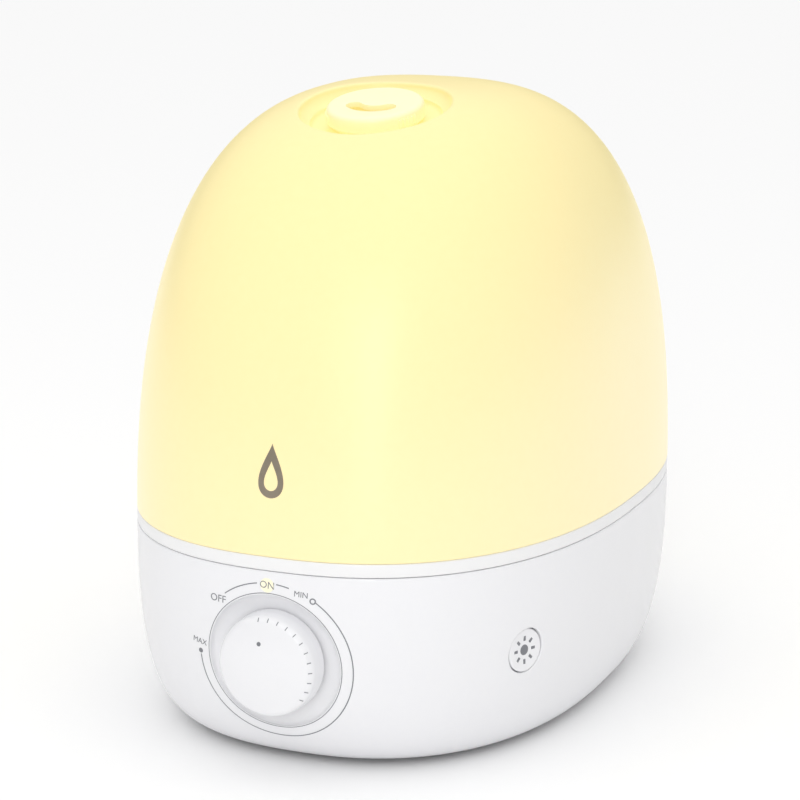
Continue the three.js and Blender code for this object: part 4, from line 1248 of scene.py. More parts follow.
@dataclass
class TankShell:
    """The milky dome with the round recess that the nozzle sits in."""

    wall: float = 2.4
    bottom: float = 75.2
    sides: int = 288
    rows: int = 72
    rim_radius: float = 25.7
    floor_radius: float = 22.5
    bore: float = 11.5
    cup_radius: float = 28.1
    core: tuple[float, float, float] = (0.0, -14.0, 75.2)

    def skin(self, inset: float, rim: np.ndarray, low: np.ndarray) -> list[np.ndarray]:
        """Loops on the form from a low ring up to a rim."""
        core = np.array(self.core)
        first, last = low - core, rim - core
        first /= np.linalg.norm(first, axis=1)[:, None]
        last /= np.linalg.norm(last, axis=1)[:, None]
        spread = np.arccos(np.clip((first * last).sum(1), -1, 1))[:, None]
        made = [low]
        for row in range(1, self.rows):
            share = row / self.rows
            way = (np.sin((1 - share) * spread) * first + np.sin(share * spread) * last) / np.sin(spread)
            middle = np.full_like(way, 0) + core + way * 70
            made.append(FORM.land(middle, way, 90, inset))
        return [*made, rim]

    def mesh(self) -> Mesh:
        """The shell's mesh."""
        place = np.array(nozzle_frame())
        angles = np.arange(self.sides) * TURN / self.sides - math.pi / 2

        def circle(radius: float, height: float) -> np.ndarray:
            """A loop in the nozzle's frame."""
            flat = np.stack(
                [radius * np.cos(angles), radius * np.sin(angles), np.full(self.sides, height)], 1
            )
            return flat @ place[:3, :3].T + place[:3, 3]

        def on_form(radius: float, inset: float) -> np.ndarray:
            """A loop on the form, round the nozzle's axis."""
            return FORM.land(circle(radius, -20), NOZZLE_AXIS, 60, inset)

        rim = on_form(self.rim_radius + 1.3, 0)
        edge = []
        for share in (0.25, 0.5, 0.75, 1.0):
            turn = share * math.radians(68)
            edge.append(
                on_form(
                    self.rim_radius + 1.3 * (1 - math.sin(turn)), 0
                ) - NOZZLE_AXIS * 1.3 * (1 - math.cos(turn))
            )
        bowl = []
        lip = edge[-1]
        for share in np.linspace(0.12, 1.0, 10):
            target = circle(self.rim_radius + (self.floor_radius - self.rim_radius) * share**0.8, 1.8)
            bowl.append(lip * (1 - share) + target * share)
        cove = [
            circle(self.floor_radius - 1.8 * (1 - math.cos(t)) , 1.8 * (1 - math.sin(t)))
            for t in np.linspace(0.35, math.pi / 2, 5)
        ]
        floor = [
            circle(self.bore + 0.3, 0), circle(self.bore, -0.3), circle(self.bore, -self.wall),
            circle(self.cup_radius - 3, -self.wall),
        ]
        under = on_form(self.cup_radius, self.wall)
        low = FORM.ring(angles, self.bottom)
        outer = self.skin(0, rim, low)
        inner = self.skin(self.wall, under, FORM.ring(angles, self.bottom, self.wall))
        shape = LoopMesh()
        shape.add([*outer, *edge, *bowl, *cove, *floor, *reversed(inner)], ring=True)
        return shape.mesh("tank_dome", 45.0)

    def build(self) -> None:
        """Makes the shell."""
        publish("tank_dome", self.mesh(), LIT_TANK, "tank_shell", body=Body.TANK)


@dataclass
class MistNozzle:
    """The disc that turns on the splash baffle, with its kidney-shaped slot and finger grips."""

    radius: float = 16.6
    bore: float = 12.9
    top: float = 7.3
    bottom: float = 1.8
    roof: float = 1.8
    slot_radius: float = 8.6
    slot_half: float = 2.8
    slot_sweep: float = 46.0
    slot_shift: float = 2.5
    ribs: int = 5
    rib_first: float = -38.0
    rib_step: float = 5.6

    def slot(self, place: Matrix) -> Mesh:
        """The slot's plug: an arc with round ends."""
        sweep, middle = math.radians(self.slot_sweep), -math.pi / 2
        outline = []

        def arc(centre: tuple[float, float], radius: float, first: float, last: float, count: int) -> None:
            """Adds an arc to the outline."""
            for angle in np.linspace(first, last, count):
                outline.append(
                    (
                        centre[0] + radius * math.cos(angle),
                        centre[1] + radius * math.sin(angle) + self.slot_shift,
                    )
                )

        arc((0, 0), self.slot_radius + self.slot_half, middle - sweep, middle + sweep, 40)
        for side, start in ((1, middle + sweep), (-1, middle - sweep)):
            end = (self.slot_radius * math.cos(start), self.slot_radius * math.sin(start))
            if side > 0:
                arc(end, self.slot_half, start, start + math.pi, 16)
                arc((0, 0), self.slot_radius - self.slot_half, middle + sweep, middle - sweep, 30)
            else:
                arc(end, self.slot_half, start + math.pi, start + TURN, 16)
        shape = LoopMesh()
        low, high = self.top - 8, self.top + 4
        loops = [np.array([(x, y, z) for x, y in outline]) for z in (low, high)]
        shape.add(loops)
        shape.close(len(outline))
        made = shape.mesh("slot")
        made.transform(Matrix.Scale(MM, 4) @ place @ Matrix.Scale(1 / MM, 4))
        return made

    def build(self) -> None:
        """Makes the nozzle and its ribs."""
        place = nozzle_frame()
        profile = rounded(
            [(0, self.top - self.roof), (self.bore, self.top - self.roof, 0.8), (self.bore, self.bottom, 0.3),
             (self.radius, self.bottom, 0.4), (self.radius, self.top, 1.7), (0, self.top)],
            steps=8,
        )
        disc = turned("mist_nozzle_disc", profile, place, 160)
        disc = combined(disc, Cut.REMOVE, self.slot(place))
        disc = softened(disc, 0.3, 55.0, 3)
        publish("mist_nozzle_disc", disc, LIT_NOZZLE, "mist_nozzle", body=Body.NOZZLE)
        seed = softened(
            block("rib", (-0.35, -0.42, self.bottom + 0.5), (0.42, 0.42, self.top - 1.9)), 0.25, 40.0, 2
        )
        grips = {
            "nozzle_grip_right": self.rib_first,
            "nozzle_grip_left": 180 - self.rib_first - (self.ribs - 1) * self.rib_step,
        }
        for name, first in grips.items():
            spread = (math.radians(first), math.radians(self.rib_step))
            grip = round_copies(name, seed.copy(), LIT_NOZZLE, self.ribs, self.radius, place, *spread)
            publish(name, grip, LIT_NOZZLE, body=Body.NOZZLE)


# ---------------------------------------------------------------- parts that the outer form doesn't shape


MIDDLE = FORM.centre_y
RING_ANGLES = np.arange(240) * TURN / 240


def standing(node: str) -> Matrix:
    """A frame on the floor under the middle of a CAD node."""
    middle = middle_of(node)
    return at(float(middle[0]), float(middle[1]))


def gathered(*meshes: Mesh) -> Mesh:
    """Several separate solids as one mesh."""
    work = bmesh.new()
    for mesh in meshes:
        work.from_mesh(mesh)
    return drained(work, "gathered")


def refined(node: str, width_mm: float = 0.25) -> Mesh:
    """A CAD node's shape with its facets merged and its edges rounded."""
    work = bmesh.new()
    work.from_mesh(frame["nodes"][node].data)
    bmesh.ops.remove_doubles(work, verts=work.verts, dist=0.001 * MM)
    bmesh.ops.dissolve_limit(work, angle_limit=math.radians(1), verts=work.verts, edges=work.edges)
    return softened(drained(work, node), width_mm)


def post(radius: float, low: float, high: float, place: Matrix, sides: int = 64) -> Mesh:
    """A plain round bar between two heights, for joining and cutting."""
    return turned("post", [(0, low), (radius, low), (radius, high), (0, high)], place, sides)


@dataclass(frozen=True)
class Turning:
    """A part turned about an upright axis, from an outline of radius, height and fillet where it has one."""

    name: str
    node: str
    finish: Finish
    body: Body
    outline: tuple[tuple[float, ...], ...]
    sides: int = 96

    def mesh(self) -> Mesh:
        """The part's mesh, on the axis of its CAD node."""
        closed = self.outline[0][0] > 0
        return turned(self.name, rounded(self.outline, closed), standing(self.node), self.sides)

    def build(self) -> None:
        """Makes the part."""
        publish(self.name, self.mesh(), self.finish, self.node, body=self.body)


def spiral_tree(finish: Finish) -> NodeTree:
    """A tree that winds round wire into an upright helix from the origin."""
    tree, sizes = new_tree(
        f"spiral_{finish.name}", {"Radius": 0.004, "Turns": 4.0, "Height": 0.005, "Wire": 0.0004}
    )
    helix = add_node(
        tree, "GeometryNodeCurveSpiral",
        {
            "Resolution": 40, "Rotations": sizes["Turns"], "Start Radius": sizes["Radius"],
            "End Radius": sizes["Radius"], "Height": sizes["Height"],
        },
    )
    section = add_node(tree, "GeometryNodeCurvePrimitiveCircle", {"Resolution": 12, "Radius": sizes["Wire"]})
    wire = add_node(
        tree, "GeometryNodeCurveToMesh",
        {"Curve": helix.outputs["Curve"], "Profile Curve": section.outputs["Curve"], "Fill Caps": True},
    )
    end_tree(tree, wire.outputs["Mesh"], finish)
    return tree


def grid_tree(finish: Finish) -> NodeTree:
    """A tree that repeats its seed on an upright grid's points, centred on the origin."""
    tree, sizes = new_tree(f"grid_{finish.name}", {"Across": 2, "Along": 2, "Width": 0.07, "Depth": 0.14})
    points = add_node(
        tree, "GeometryNodeMeshGrid",
        {
            "Size X": sizes["Width"], "Size Y": sizes["Depth"], "Vertices X": sizes["Across"],
            "Vertices Y": sizes["Along"],
        },
    )
    copies = add_node(
        tree, "GeometryNodeInstanceOnPoints",
        {"Points": points.outputs["Mesh"], "Instance": sizes["Geometry"]},
    )
    end_tree(tree, copies.outputs["Instances"], finish)
    return tree


def on_grid(
    name: str, seed: Mesh, finish: Finish, count: tuple[int, int], size: tuple[float, float], place: Matrix
) -> Mesh:
    """Copies of a seed on a grid of a size in millimetres."""
    sizes = {"Across": count[0], "Along": count[1], "Width": size[0] * MM, "Depth": size[1] * MM}
    return grown(name, seed, grid_tree(finish), sizes, place)


def round_copies(
    name: str, seed: Mesh, finish: Finish, count: int, radius: float, place: Matrix, start: float = 0.0,
    step: float | None = None,
) -> Mesh:
    """Copies of a seed round an arc, radius in millimetres, evenly round a circle if no step is given."""
    sizes = {"Copies": count, "Radius": radius * MM, "Start": start, "Step": step or TURN / count}
    return grown(name, seed, round_array(finish), sizes, place)


def screw(head: float, shank: float, low: float, neck: float, top: float) -> Mesh:
    """A pan-head screw driven upwards, with a cross recess in its head.

    Args:
        head: The head's radius.
        shank: The shank's radius.
        low: The height of the head's face.
        neck: Where the head meets the shank.
        top: The shank's end.

    Returns:
        The mesh, on the origin's axis.
    """
    outline = [
        (0, low), (head * 0.7, low, 0.3), (head, low + 0.45, 0.3), (head, neck, 0.1), (shank, neck),
        (shank, top, 0.4), (0, top),
    ]
    body = turned("screw", rounded(outline), None, 32)
    arm, half, depth = head * 0.56, head * 0.13, (neck - low) * 0.6
    first = block("slot", (-arm, -half, low - 1), (arm, half, low + depth))
    second = block("slot", (-half, -arm, low - 1), (half, arm, low + depth))
    return combined(body, Cut.REMOVE, first, second)


TURNINGS = (
    Turning(
        "fill_cap_seal", "cap_seal", SILICONE, Body.CAP,
        ((18.4, 59.3, 0.5), (21.5, 59.3, 0.5), (21.5, 61.7, 0.9), (18.4, 61.7, 0.9)),
    ),
    Turning(
        "valve_stem", "valve_plunger", TRIM_ABS, Body.VALVE,
        (
            (0, 49.5), (6.5, 49.5, 0.5), (6.5, 51.0, 0.3), (1.8, 51.0, 0.4), (1.8, 61.2, 0.3),
            (5.0, 61.2, 0.3), (5.0, 62.6, 0.6), (0, 62.6),
        ),
    ),
    Turning(
        "valve_disc_seal", "valve_seal", SILICONE, Body.VALVE,
        ((2.2, 59.3, 0.2), (9.0, 59.3, 0.3), (8.2, 60.9, 0.5), (2.2, 60.9, 0.2)),
    ),
    Turning(
        "light_window", "light_lens", CLEAR_PC, Body.BASE,
        (
            (0, 58.3), (10.0, 58.3, 0.2), (10.0, 59.6, 0.4), (8.6, 59.7, 0.6), (6.6, 61.2, 3.0),
            (3.0, 62.0, 4.0), (0, 62.0),
        ),
    ),
    Turning(
        "float_ring", "float", SILICONE, Body.FLOAT,
        (
            (3.7, 39.9), (3.7, 47.0, 0.8), (10.0, 47.0, 1.2), (10.0, 37.0, 1.2), (7.0, 37.0, 0.3),
            (7.0, 39.7, 0.3),
        ),
    ),
    Turning(
        "float_ring_magnet", "float_magnet", ZINCED_STEEL, Body.FLOAT,
        ((4.0, 37.3, 0.2), (6.7, 37.3, 0.2), (6.7, 39.4, 0.2), (4.0, 39.4, 0.2)),
    ),
    Turning(
        "float_stop", "float_retainer", BASIN_ABS, Body.BASE,
        ((0, 56.3), (5.4, 56.3, 0.3), (5.4, 57.9, 0.6), (0, 57.9)),
    ),
    Turning(
        "reed_switch", "level_sensor", BLACK_NYLON, Body.BASE,
        ((0, 31.0), (1.4, 31.0, 0.4), (1.4, 48.0, 0.8), (0, 48.0)), 32,
    ),
    Turning(
        "mist_disc_seal", "transducer_seal", SILICONE, Body.BASE,
        (
            (8.5, 30.6, 0.3), (14.0, 30.6, 0.5), (14.0, 33.5, 0.6), (10.3, 33.5, 0.2), (10.3, 31.4),
            (8.5, 31.4, 0.2),
        ),
    ),
    Turning(
        "mist_disc", "transducer_disc", LAPPED_CERAMIC, Body.BASE,
        ((0, 31.7), (10.0, 31.7, 0.2), (10.0, 32.9, 0.3), (7.6, 32.9), (7.4, 32.8), (0, 32.8)),
    ),
    Turning(
        "capacitor_can", "capacitor", BLACK_NYLON, Body.BASE,
        (
            (0, 13.9), (4.0, 13.9, 0.5), (4.0, 15.4, 0.3), (3.75, 15.7, 0.2), (4.0, 16.0, 0.3),
            (4.0, 25.6, 0.5), (3.3, 25.6, 0.1), (3.2, 25.4), (0, 25.4),
        ),
        48,
    ),
)


@dataclass
class FillCap:
    """The ribbed cap that closes the tank, with its drain holes and the valve's spring."""

    outer: float = 24.6
    inner: float = 21.9
    bottom: float = 57.0
    top: float = 70.2
    floor: float = 2.0
    ribs: int = 48
    rib_width: float = 1.2
    rib_stands: float = 0.6
    hole: float = 2.2
    vents: int = 6
    vent: float = 1.5
    vent_circle: float = 5.6
    spring_low: float = 51.4
    spring_high: float = 56.3
    spring_radius: float = 4.2
    spring_wire: float = 0.4
    spring_turns: float = 4.0

    def cap(self) -> Mesh:
        """The cap's mesh with its holes."""
        place = standing("tank_cap")
        outline = [
            (self.hole, self.bottom, 0.3), (10.5, self.bottom, 0.3), (11.0, self.bottom + 0.5, 0.3),
            (18.0, self.bottom + 0.5, 0.3), (18.5, self.bottom, 0.3), (self.outer, self.bottom, 1.3),
            (self.outer, self.top, 0.5), (self.inner, self.top, 0.4),
            (self.inner, self.bottom + self.floor, 0.8), (self.hole, self.bottom + self.floor, 0.2),
        ]
        body = turned("fill_cap", rounded(outline, True), place, 192)
        drill = post(self.vent, self.bottom - 2, self.bottom + 5, at(0, 0), 24)
        return softened(
            combined(
                body, Cut.REMOVE, round_copies("vents", drill, TRIM_ABS, self.vents, self.vent_circle, place)
            ),
            0.2, 50,
        )

    def spring(self) -> Mesh:
        """The valve's spring."""
        sizes = {
            "Radius": self.spring_radius * MM, "Turns": self.spring_turns,
            "Height": (self.spring_high - self.spring_low) * MM, "Wire": self.spring_wire * MM,
        }
        place = standing("tank_cap") @ at(0, 0, self.spring_low)
        return grown("valve_coil", None, spiral_tree(ZINCED_STEEL), sizes, place)

    def build(self) -> None:
        """Makes the cap, its ribs and the spring."""
        publish("fill_cap", self.cap(), TRIM_ABS, "tank_cap", body=Body.CAP)
        seed = block(
            "rib", (-0.4, -self.rib_width / 2, self.bottom + 1.6),
            (self.rib_stands, self.rib_width / 2, self.top - 0.8),
        )
        ribs = round_copies(
            "fill_cap_ribs", softened(seed, 0.35), TRIM_ABS, self.ribs, self.outer, standing("tank_cap")
        )
        publish("fill_cap_ribs", ribs, TRIM_ABS, body=Body.CAP)
        coil = publish("valve_coil", self.spring(), ZINCED_STEEL, "valve_spring", body=Body.CAP)
        middle = middle_of("valve_spring") * MM
        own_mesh(coil)


@dataclass
class MistPath:
    """The clear tube up the middle of the tank and the baffle that the nozzle turns on."""

    inner: float = 13.0
    outer: float = 15.0
    low: float = 75.2
    gap_under_recess: float = 2.7
    edge: float = 0.35
    baffle: tuple[tuple[float, ...], ...] = (
        (9.8, -8.0, 0.4), (11.2, -8.0, 0.4), (11.2, 0.3, 0.2), (15.0, 0.3, 0.4), (15.0, 1.5, 0.4),
        (12.5, 1.5, 0.2), (12.5, 4.0, 0.4), (9.8, 4.0, 0.4),
    )
    vane_half: float = 10.3
    vane_thickness: float = 0.8

    def tube(self) -> Mesh:
        """The tube, cut off at a slant under the recess."""
        place = np.array(standing("mist_tube"))[:3, 3]
        angles = np.arange(96) * TURN / 96

        def loop(radius: float, height: float | None, drop: float = 0.0) -> np.ndarray:
            """A level loop, or one on the slant when no height is given."""
            x, y = place[0] + radius * np.cos(angles), place[1] + radius * np.sin(angles)
            if height is not None:
                return np.stack([x, y, np.full(96, height)], 1)
            slope = (-self.gap_under_recess - (y - NOZZLE_FLOOR[1]) * NOZZLE_AXIS[1]) / NOZZLE_AXIS[2]
            return np.stack([x, y, NOZZLE_FLOOR[2] + slope - drop], 1)

        edge = self.edge
        shape = LoopMesh()
        shape.add(
            [
                loop(self.inner + edge, self.low), loop(self.outer - edge, self.low),
                loop(self.outer, self.low + edge), loop(self.outer, None, edge),
                loop(self.outer - edge, None), loop(self.inner + edge, None), loop(self.inner, None, edge),
                loop(self.inner, self.low + edge),
            ],
            ring=True,
        )
        return shape.mesh("mist_pipe")

    def build(self) -> None:
        """Makes the tube and the baffle."""
        publish("mist_pipe", self.tube(), CLEAR_PC, "mist_tube", body=Body.TANK)
        place = nozzle_frame()
        body = turned("baffle_ring", rounded(self.baffle, True), place, 96)
        half, thin = self.vane_half, self.vane_thickness
        vanes = [
            block("vane", (-half, -thin, -8.0), (half, thin, -4.0), place),
            block("vane", (-thin, -half, -8.0), (thin, half, -4.0), place),
        ]
        baffle = softened(combined(body, Cut.JOIN, *vanes), 0.2, 50)
        publish("baffle_ring", baffle, LIT_NOZZLE, "splash_baffle", body=Body.BAFFLE, slot="clear_plastic")


@dataclass
class WaterBasin:
    """The basin under the tank, with its posts, light column, air duct and the opening over the mist disc."""

    half_x: float = 64.0
    half_y: float = 92.0
    set_back: float = 8.0
    exponent: float = 2.6
    floor: float = 36.0
    wall: float = 2.2
    taper: float = 4.0
    deck_low: float = 60.0
    deck_high: float = 62.0
    deck_inset: float = 2.8
    column: tuple[float, float, float] = (10.0, 8.0, 58.0)
    duct: tuple[float, float, float] = (12.8, 11.0, 65.0)
    duct_back: float = 84.0
    valve_post: tuple[float, float] = (3.5, 49.0)
    float_post: tuple[float, float] = (3.2, 56.0)
    opening: float = 9.0
    boss: float = 3.2
    boss_circle: float = 18.5
    notch: float = 25.7
    notch_back: float = 7.9

    def well_ring(self, grow: float, z: float) -> np.ndarray:
        """A level ring of the well's wall, moved out by a length."""
        x, y = superellipse(RING_ANGLES, self.half_x + grow, self.half_y + grow, self.exponent)
        return np.stack([x, MIDDLE + self.set_back + y, np.full(len(x), z)], 1)

    def bowl(self) -> Mesh:
        """The well and the deck round it."""
        under = self.floor - self.wall
        inside = rounded(
            [
                (-60, self.floor), (-self.taper, self.floor, 3.0), (-0.15, self.deck_high, 0.8),
                (1.5, self.deck_high),
            ]
        )
        deck = rounded(
            [
                (8, self.deck_high), (self.deck_inset, self.deck_high, 0.5),
                (self.deck_inset, self.deck_low, 0.5), (8, self.deck_low),
            ]
        )
        outside = rounded(
            [
                (3.5, self.deck_low), (1.9, self.deck_low, 0.6), (self.wall - self.taper, under, 2.4),
                (-60, under),
            ]
        )
        loops = [self.well_ring(grow, z) for grow, z in inside]
        loops += [FORM.ring(RING_ANGLES, z, inset) for inset, z in deck]
        loops += [self.well_ring(grow, z) for grow, z in outside]
        shape = LoopMesh()
        shape.add(loops)
        shape.close(len(RING_ANGLES))
        return shape.mesh("basin_tray")

    def build(self) -> None:
        """Makes the basin."""
        under, sunk = self.floor - self.wall, self.floor - 1
        light, air, raft = standing("light_lens"), at(0, MIDDLE + self.duct_back), standing("float")
        mist, valve = standing("transducer_disc"), standing("valve_plunger")
        joined = gathered(
            post(self.column[0], under + 0.5, self.column[2], light),
            post(self.duct[0], under + 0.5, self.duct[2], air),
            post(self.float_post[0], sunk, self.float_post[1], raft, 40),
            post(self.valve_post[0], sunk, self.valve_post[1], valve, 40),
            round_copies(
                "bosses", post(self.boss, 30.6, under + 0.5, at(0, 0), 32), BASIN_ABS, 3, self.boss_circle,
                mist, TURN / 4,
            ),
        )
        notch = at(0, MIDDLE - FORM.half_depth - 5, KNOB_Z) @ Matrix.Rotation(-math.pi / 2, 4, "X")
        removed = gathered(
            post(self.column[1], 30, self.column[2] + 1, light),
            post(self.duct[1], 30, self.duct[2] + 1, air), post(1.9, 30, 52, raft, 32),
            post(self.opening, 30, 40, mist),
            round_copies(
                "drills", post(1.5, 28, 35.2, at(0, 0), 20), BASIN_ABS, 3, self.boss_circle, mist, TURN / 4
            ),
            post(self.notch, 0, 5 + self.notch_back, notch, 96),
        )
        tray = combined(combined(self.bowl(), Cut.JOIN, joined), Cut.REMOVE, removed)
        publish("basin_tray", softened(tray, 0.3, 50), BASIN_ABS, "water_basin")


@dataclass
class Underside:
    """The bottom cover with its air intake, its rubber feet and its screws."""

    low: float = 2.5
    high: float = 4.7
    scale: float = 0.78
    gap: float = 0.3
    slots: int = 8
    slot_pitch: float = 5.2
    slot_half: float = 19.0
    slot_width: float = 2.6
    feet: tuple[float, float] = (68.0, 144.0)
    screws: tuple[float, float] = (92.0, 124.0)
    standoffs: tuple[float, float] = (72.0, 74.0)
    foot: float = 7.0

    def plate(self) -> Mesh:
        """The cover before it is cut."""
        section = rounded(
            [(60, self.low), (self.gap, self.low, 0.5), (self.gap, self.high, 0.3), (60, self.high)]
        )
        shape = LoopMesh()
        shape.add([FORM.ring(RING_ANGLES, z, inset, self.scale) for inset, z in section])
        shape.close(len(RING_ANGLES))
        return shape.mesh("floor_cover")

    def slot(self) -> Mesh:
        """One intake slot's plug, with round ends."""
        half = self.slot_width / 2
        bar_low, bar_high = (-self.slot_half + half, -half, 0), (self.slot_half - half, half, 7)
        ends = [post(half, 0, 7, at(side * (self.slot_half - half), 0), 20) for side in (-1, 1)]
        return combined(block("slot", bar_low, bar_high), Cut.JOIN, *ends)

    def build(self) -> None:
        """Makes the cover, the feet and the screws."""
        centre = at(0, MIDDLE)
        pitch = self.slot_pitch * (self.slots - 1)
        intake = standing("fan_rotor")
        drill = turned("drill", [(0, 0), (3.4, 0), (3.4, 3.9), (1.7, 3.9), (1.7, 8), (0, 8)], None, 32)
        removed = gathered(
            on_grid("slots", self.slot(), WHITE_ABS, (1, self.slots), (0, pitch), intake),
            on_grid("pockets", post(self.foot + 0.5, 0, 3.5, at(0, 0)), WHITE_ABS, (2, 2), self.feet, centre),
            on_grid("drills", drill, WHITE_ABS, (2, 2), self.screws, centre),
        )
        stands = on_grid(
            "stands", post(2.6, 4.2, 11.7, at(0, 0), 32), WHITE_ABS, (2, 2), self.standoffs,
            at(0, MIDDLE - 15),
        )
        cover = combined(combined(self.plate(), Cut.JOIN, stands), Cut.REMOVE, removed)
        publish("floor_cover", softened(cover, 0.25, 50), WHITE_ABS, "bottom_cover")
        pad = rounded(
            [(0, 0), (self.foot - 0.8, 0, 0.4), (self.foot, 0.8, 0.4), (self.foot, 3.2, 0.3), (0, 3.2)]
        )
        feet = on_grid("rubber_feet", turned("foot", pad, None, 64), GREY_RUBBER, (2, 2), self.feet, centre)
        publish("rubber_feet", feet, GREY_RUBBER, *[f"rubber_foot_{i}" for i in range(1, 5)])
        screws = on_grid(
            "cover_screws", screw(3.0, 1.2, 2.6, 3.6, 9.5), ZINCED_STEEL, (2, 2), self.screws, centre
        )
        publish("cover_screws", screws, ZINCED_STEEL, *[f"cover_screw_{i}" for i in range(1, 5)])


@dataclass
class Fan:
    """The rotor's hub and swept blades, and the duct that turns the air up to the tank."""

    hub: float = 9.0
    reach: float = 21.4
    blades: int = 7
    hub_low: float = 10.4
    hub_high: float = 22.0
    chord: float = 11.6
    thickness: float = 1.1
    stations: int = 7
    sides: int = 96

    def blade(self) -> Mesh:
        """One blade, cambered and twisted from its root to its tip."""
        shape = LoopMesh()
        loops = []
        shares = np.linspace(-0.5, 0.5, 9)
        for radius in np.linspace(self.hub - 0.8, self.reach, self.stations):
            out = (radius - self.hub) / (self.reach - self.hub)
            pitch = math.radians(50 - 14 * out)
            along = np.concatenate([shares, shares[::-1][1:-1]]) * self.chord
            side = np.concatenate([np.ones(9), -np.ones(7)])
            thick = self.thickness / 2 * side * np.sqrt(np.maximum(1 - (2 * along / self.chord) ** 2, 0.04))
            bow = 1.1 * (1 - (2 * along / self.chord) ** 2)
            y = along * math.cos(pitch) - (thick + bow) * math.sin(pitch)
            z = along * math.sin(pitch) + (thick + bow) * math.cos(pitch)
            loops.append(np.stack([np.full(len(y), radius - 0.02 * y * y), y, z + 16.0], 1))
        shape.add(loops)
        shape.close(len(loops[0]))
        return shape.mesh("blade")

    def duct_ring(self, half: float, exponent: float, y: float, z: float) -> np.ndarray:
        """A level ring of the duct."""
        across, along = superellipse(np.arange(self.sides) * TURN / self.sides, half, half, exponent)
        return np.stack([across, MIDDLE + y + along, np.full(self.sides, z)], 1)

    def build(self) -> None:
        """Makes the rotor and the duct."""
        place = standing("fan_rotor")
        outline = [
            (0, 17.6), (1.6, 17.6), (1.6, self.hub_low), (self.hub, self.hub_low, 0.4),
            (self.hub, self.hub_high, 1.2),
        ]
        hub = turned("hub", rounded([*outline, (0, self.hub_high)]), place, 96)
        blades = round_copies("blades", self.blade(), BLACK_NYLON, self.blades, 0.0, place)
        publish("fan_wheel", gathered(hub, blades), BLACK_NYLON, "fan_rotor", body=Body.FAN)
        steps = np.linspace(0, 1, 9)
        outer = [self.duct_ring(24.6 - 11.2 * s, 7 - 5 * s, 64 + 20 * s, 23.3 + 10.2 * s) for s in steps]
        inner = [self.duct_ring(23.0 - 11.7 * s, 7 - 5 * s, 62.8 + 22.4 * s, 23.3 + 10.2 * s) for s in steps]
        shape = LoopMesh()
        shape.add([*outer, *reversed(inner)], ring=True)
        publish("air_duct", shape.mesh("air_duct"), BASIN_ABS, "fan_duct")


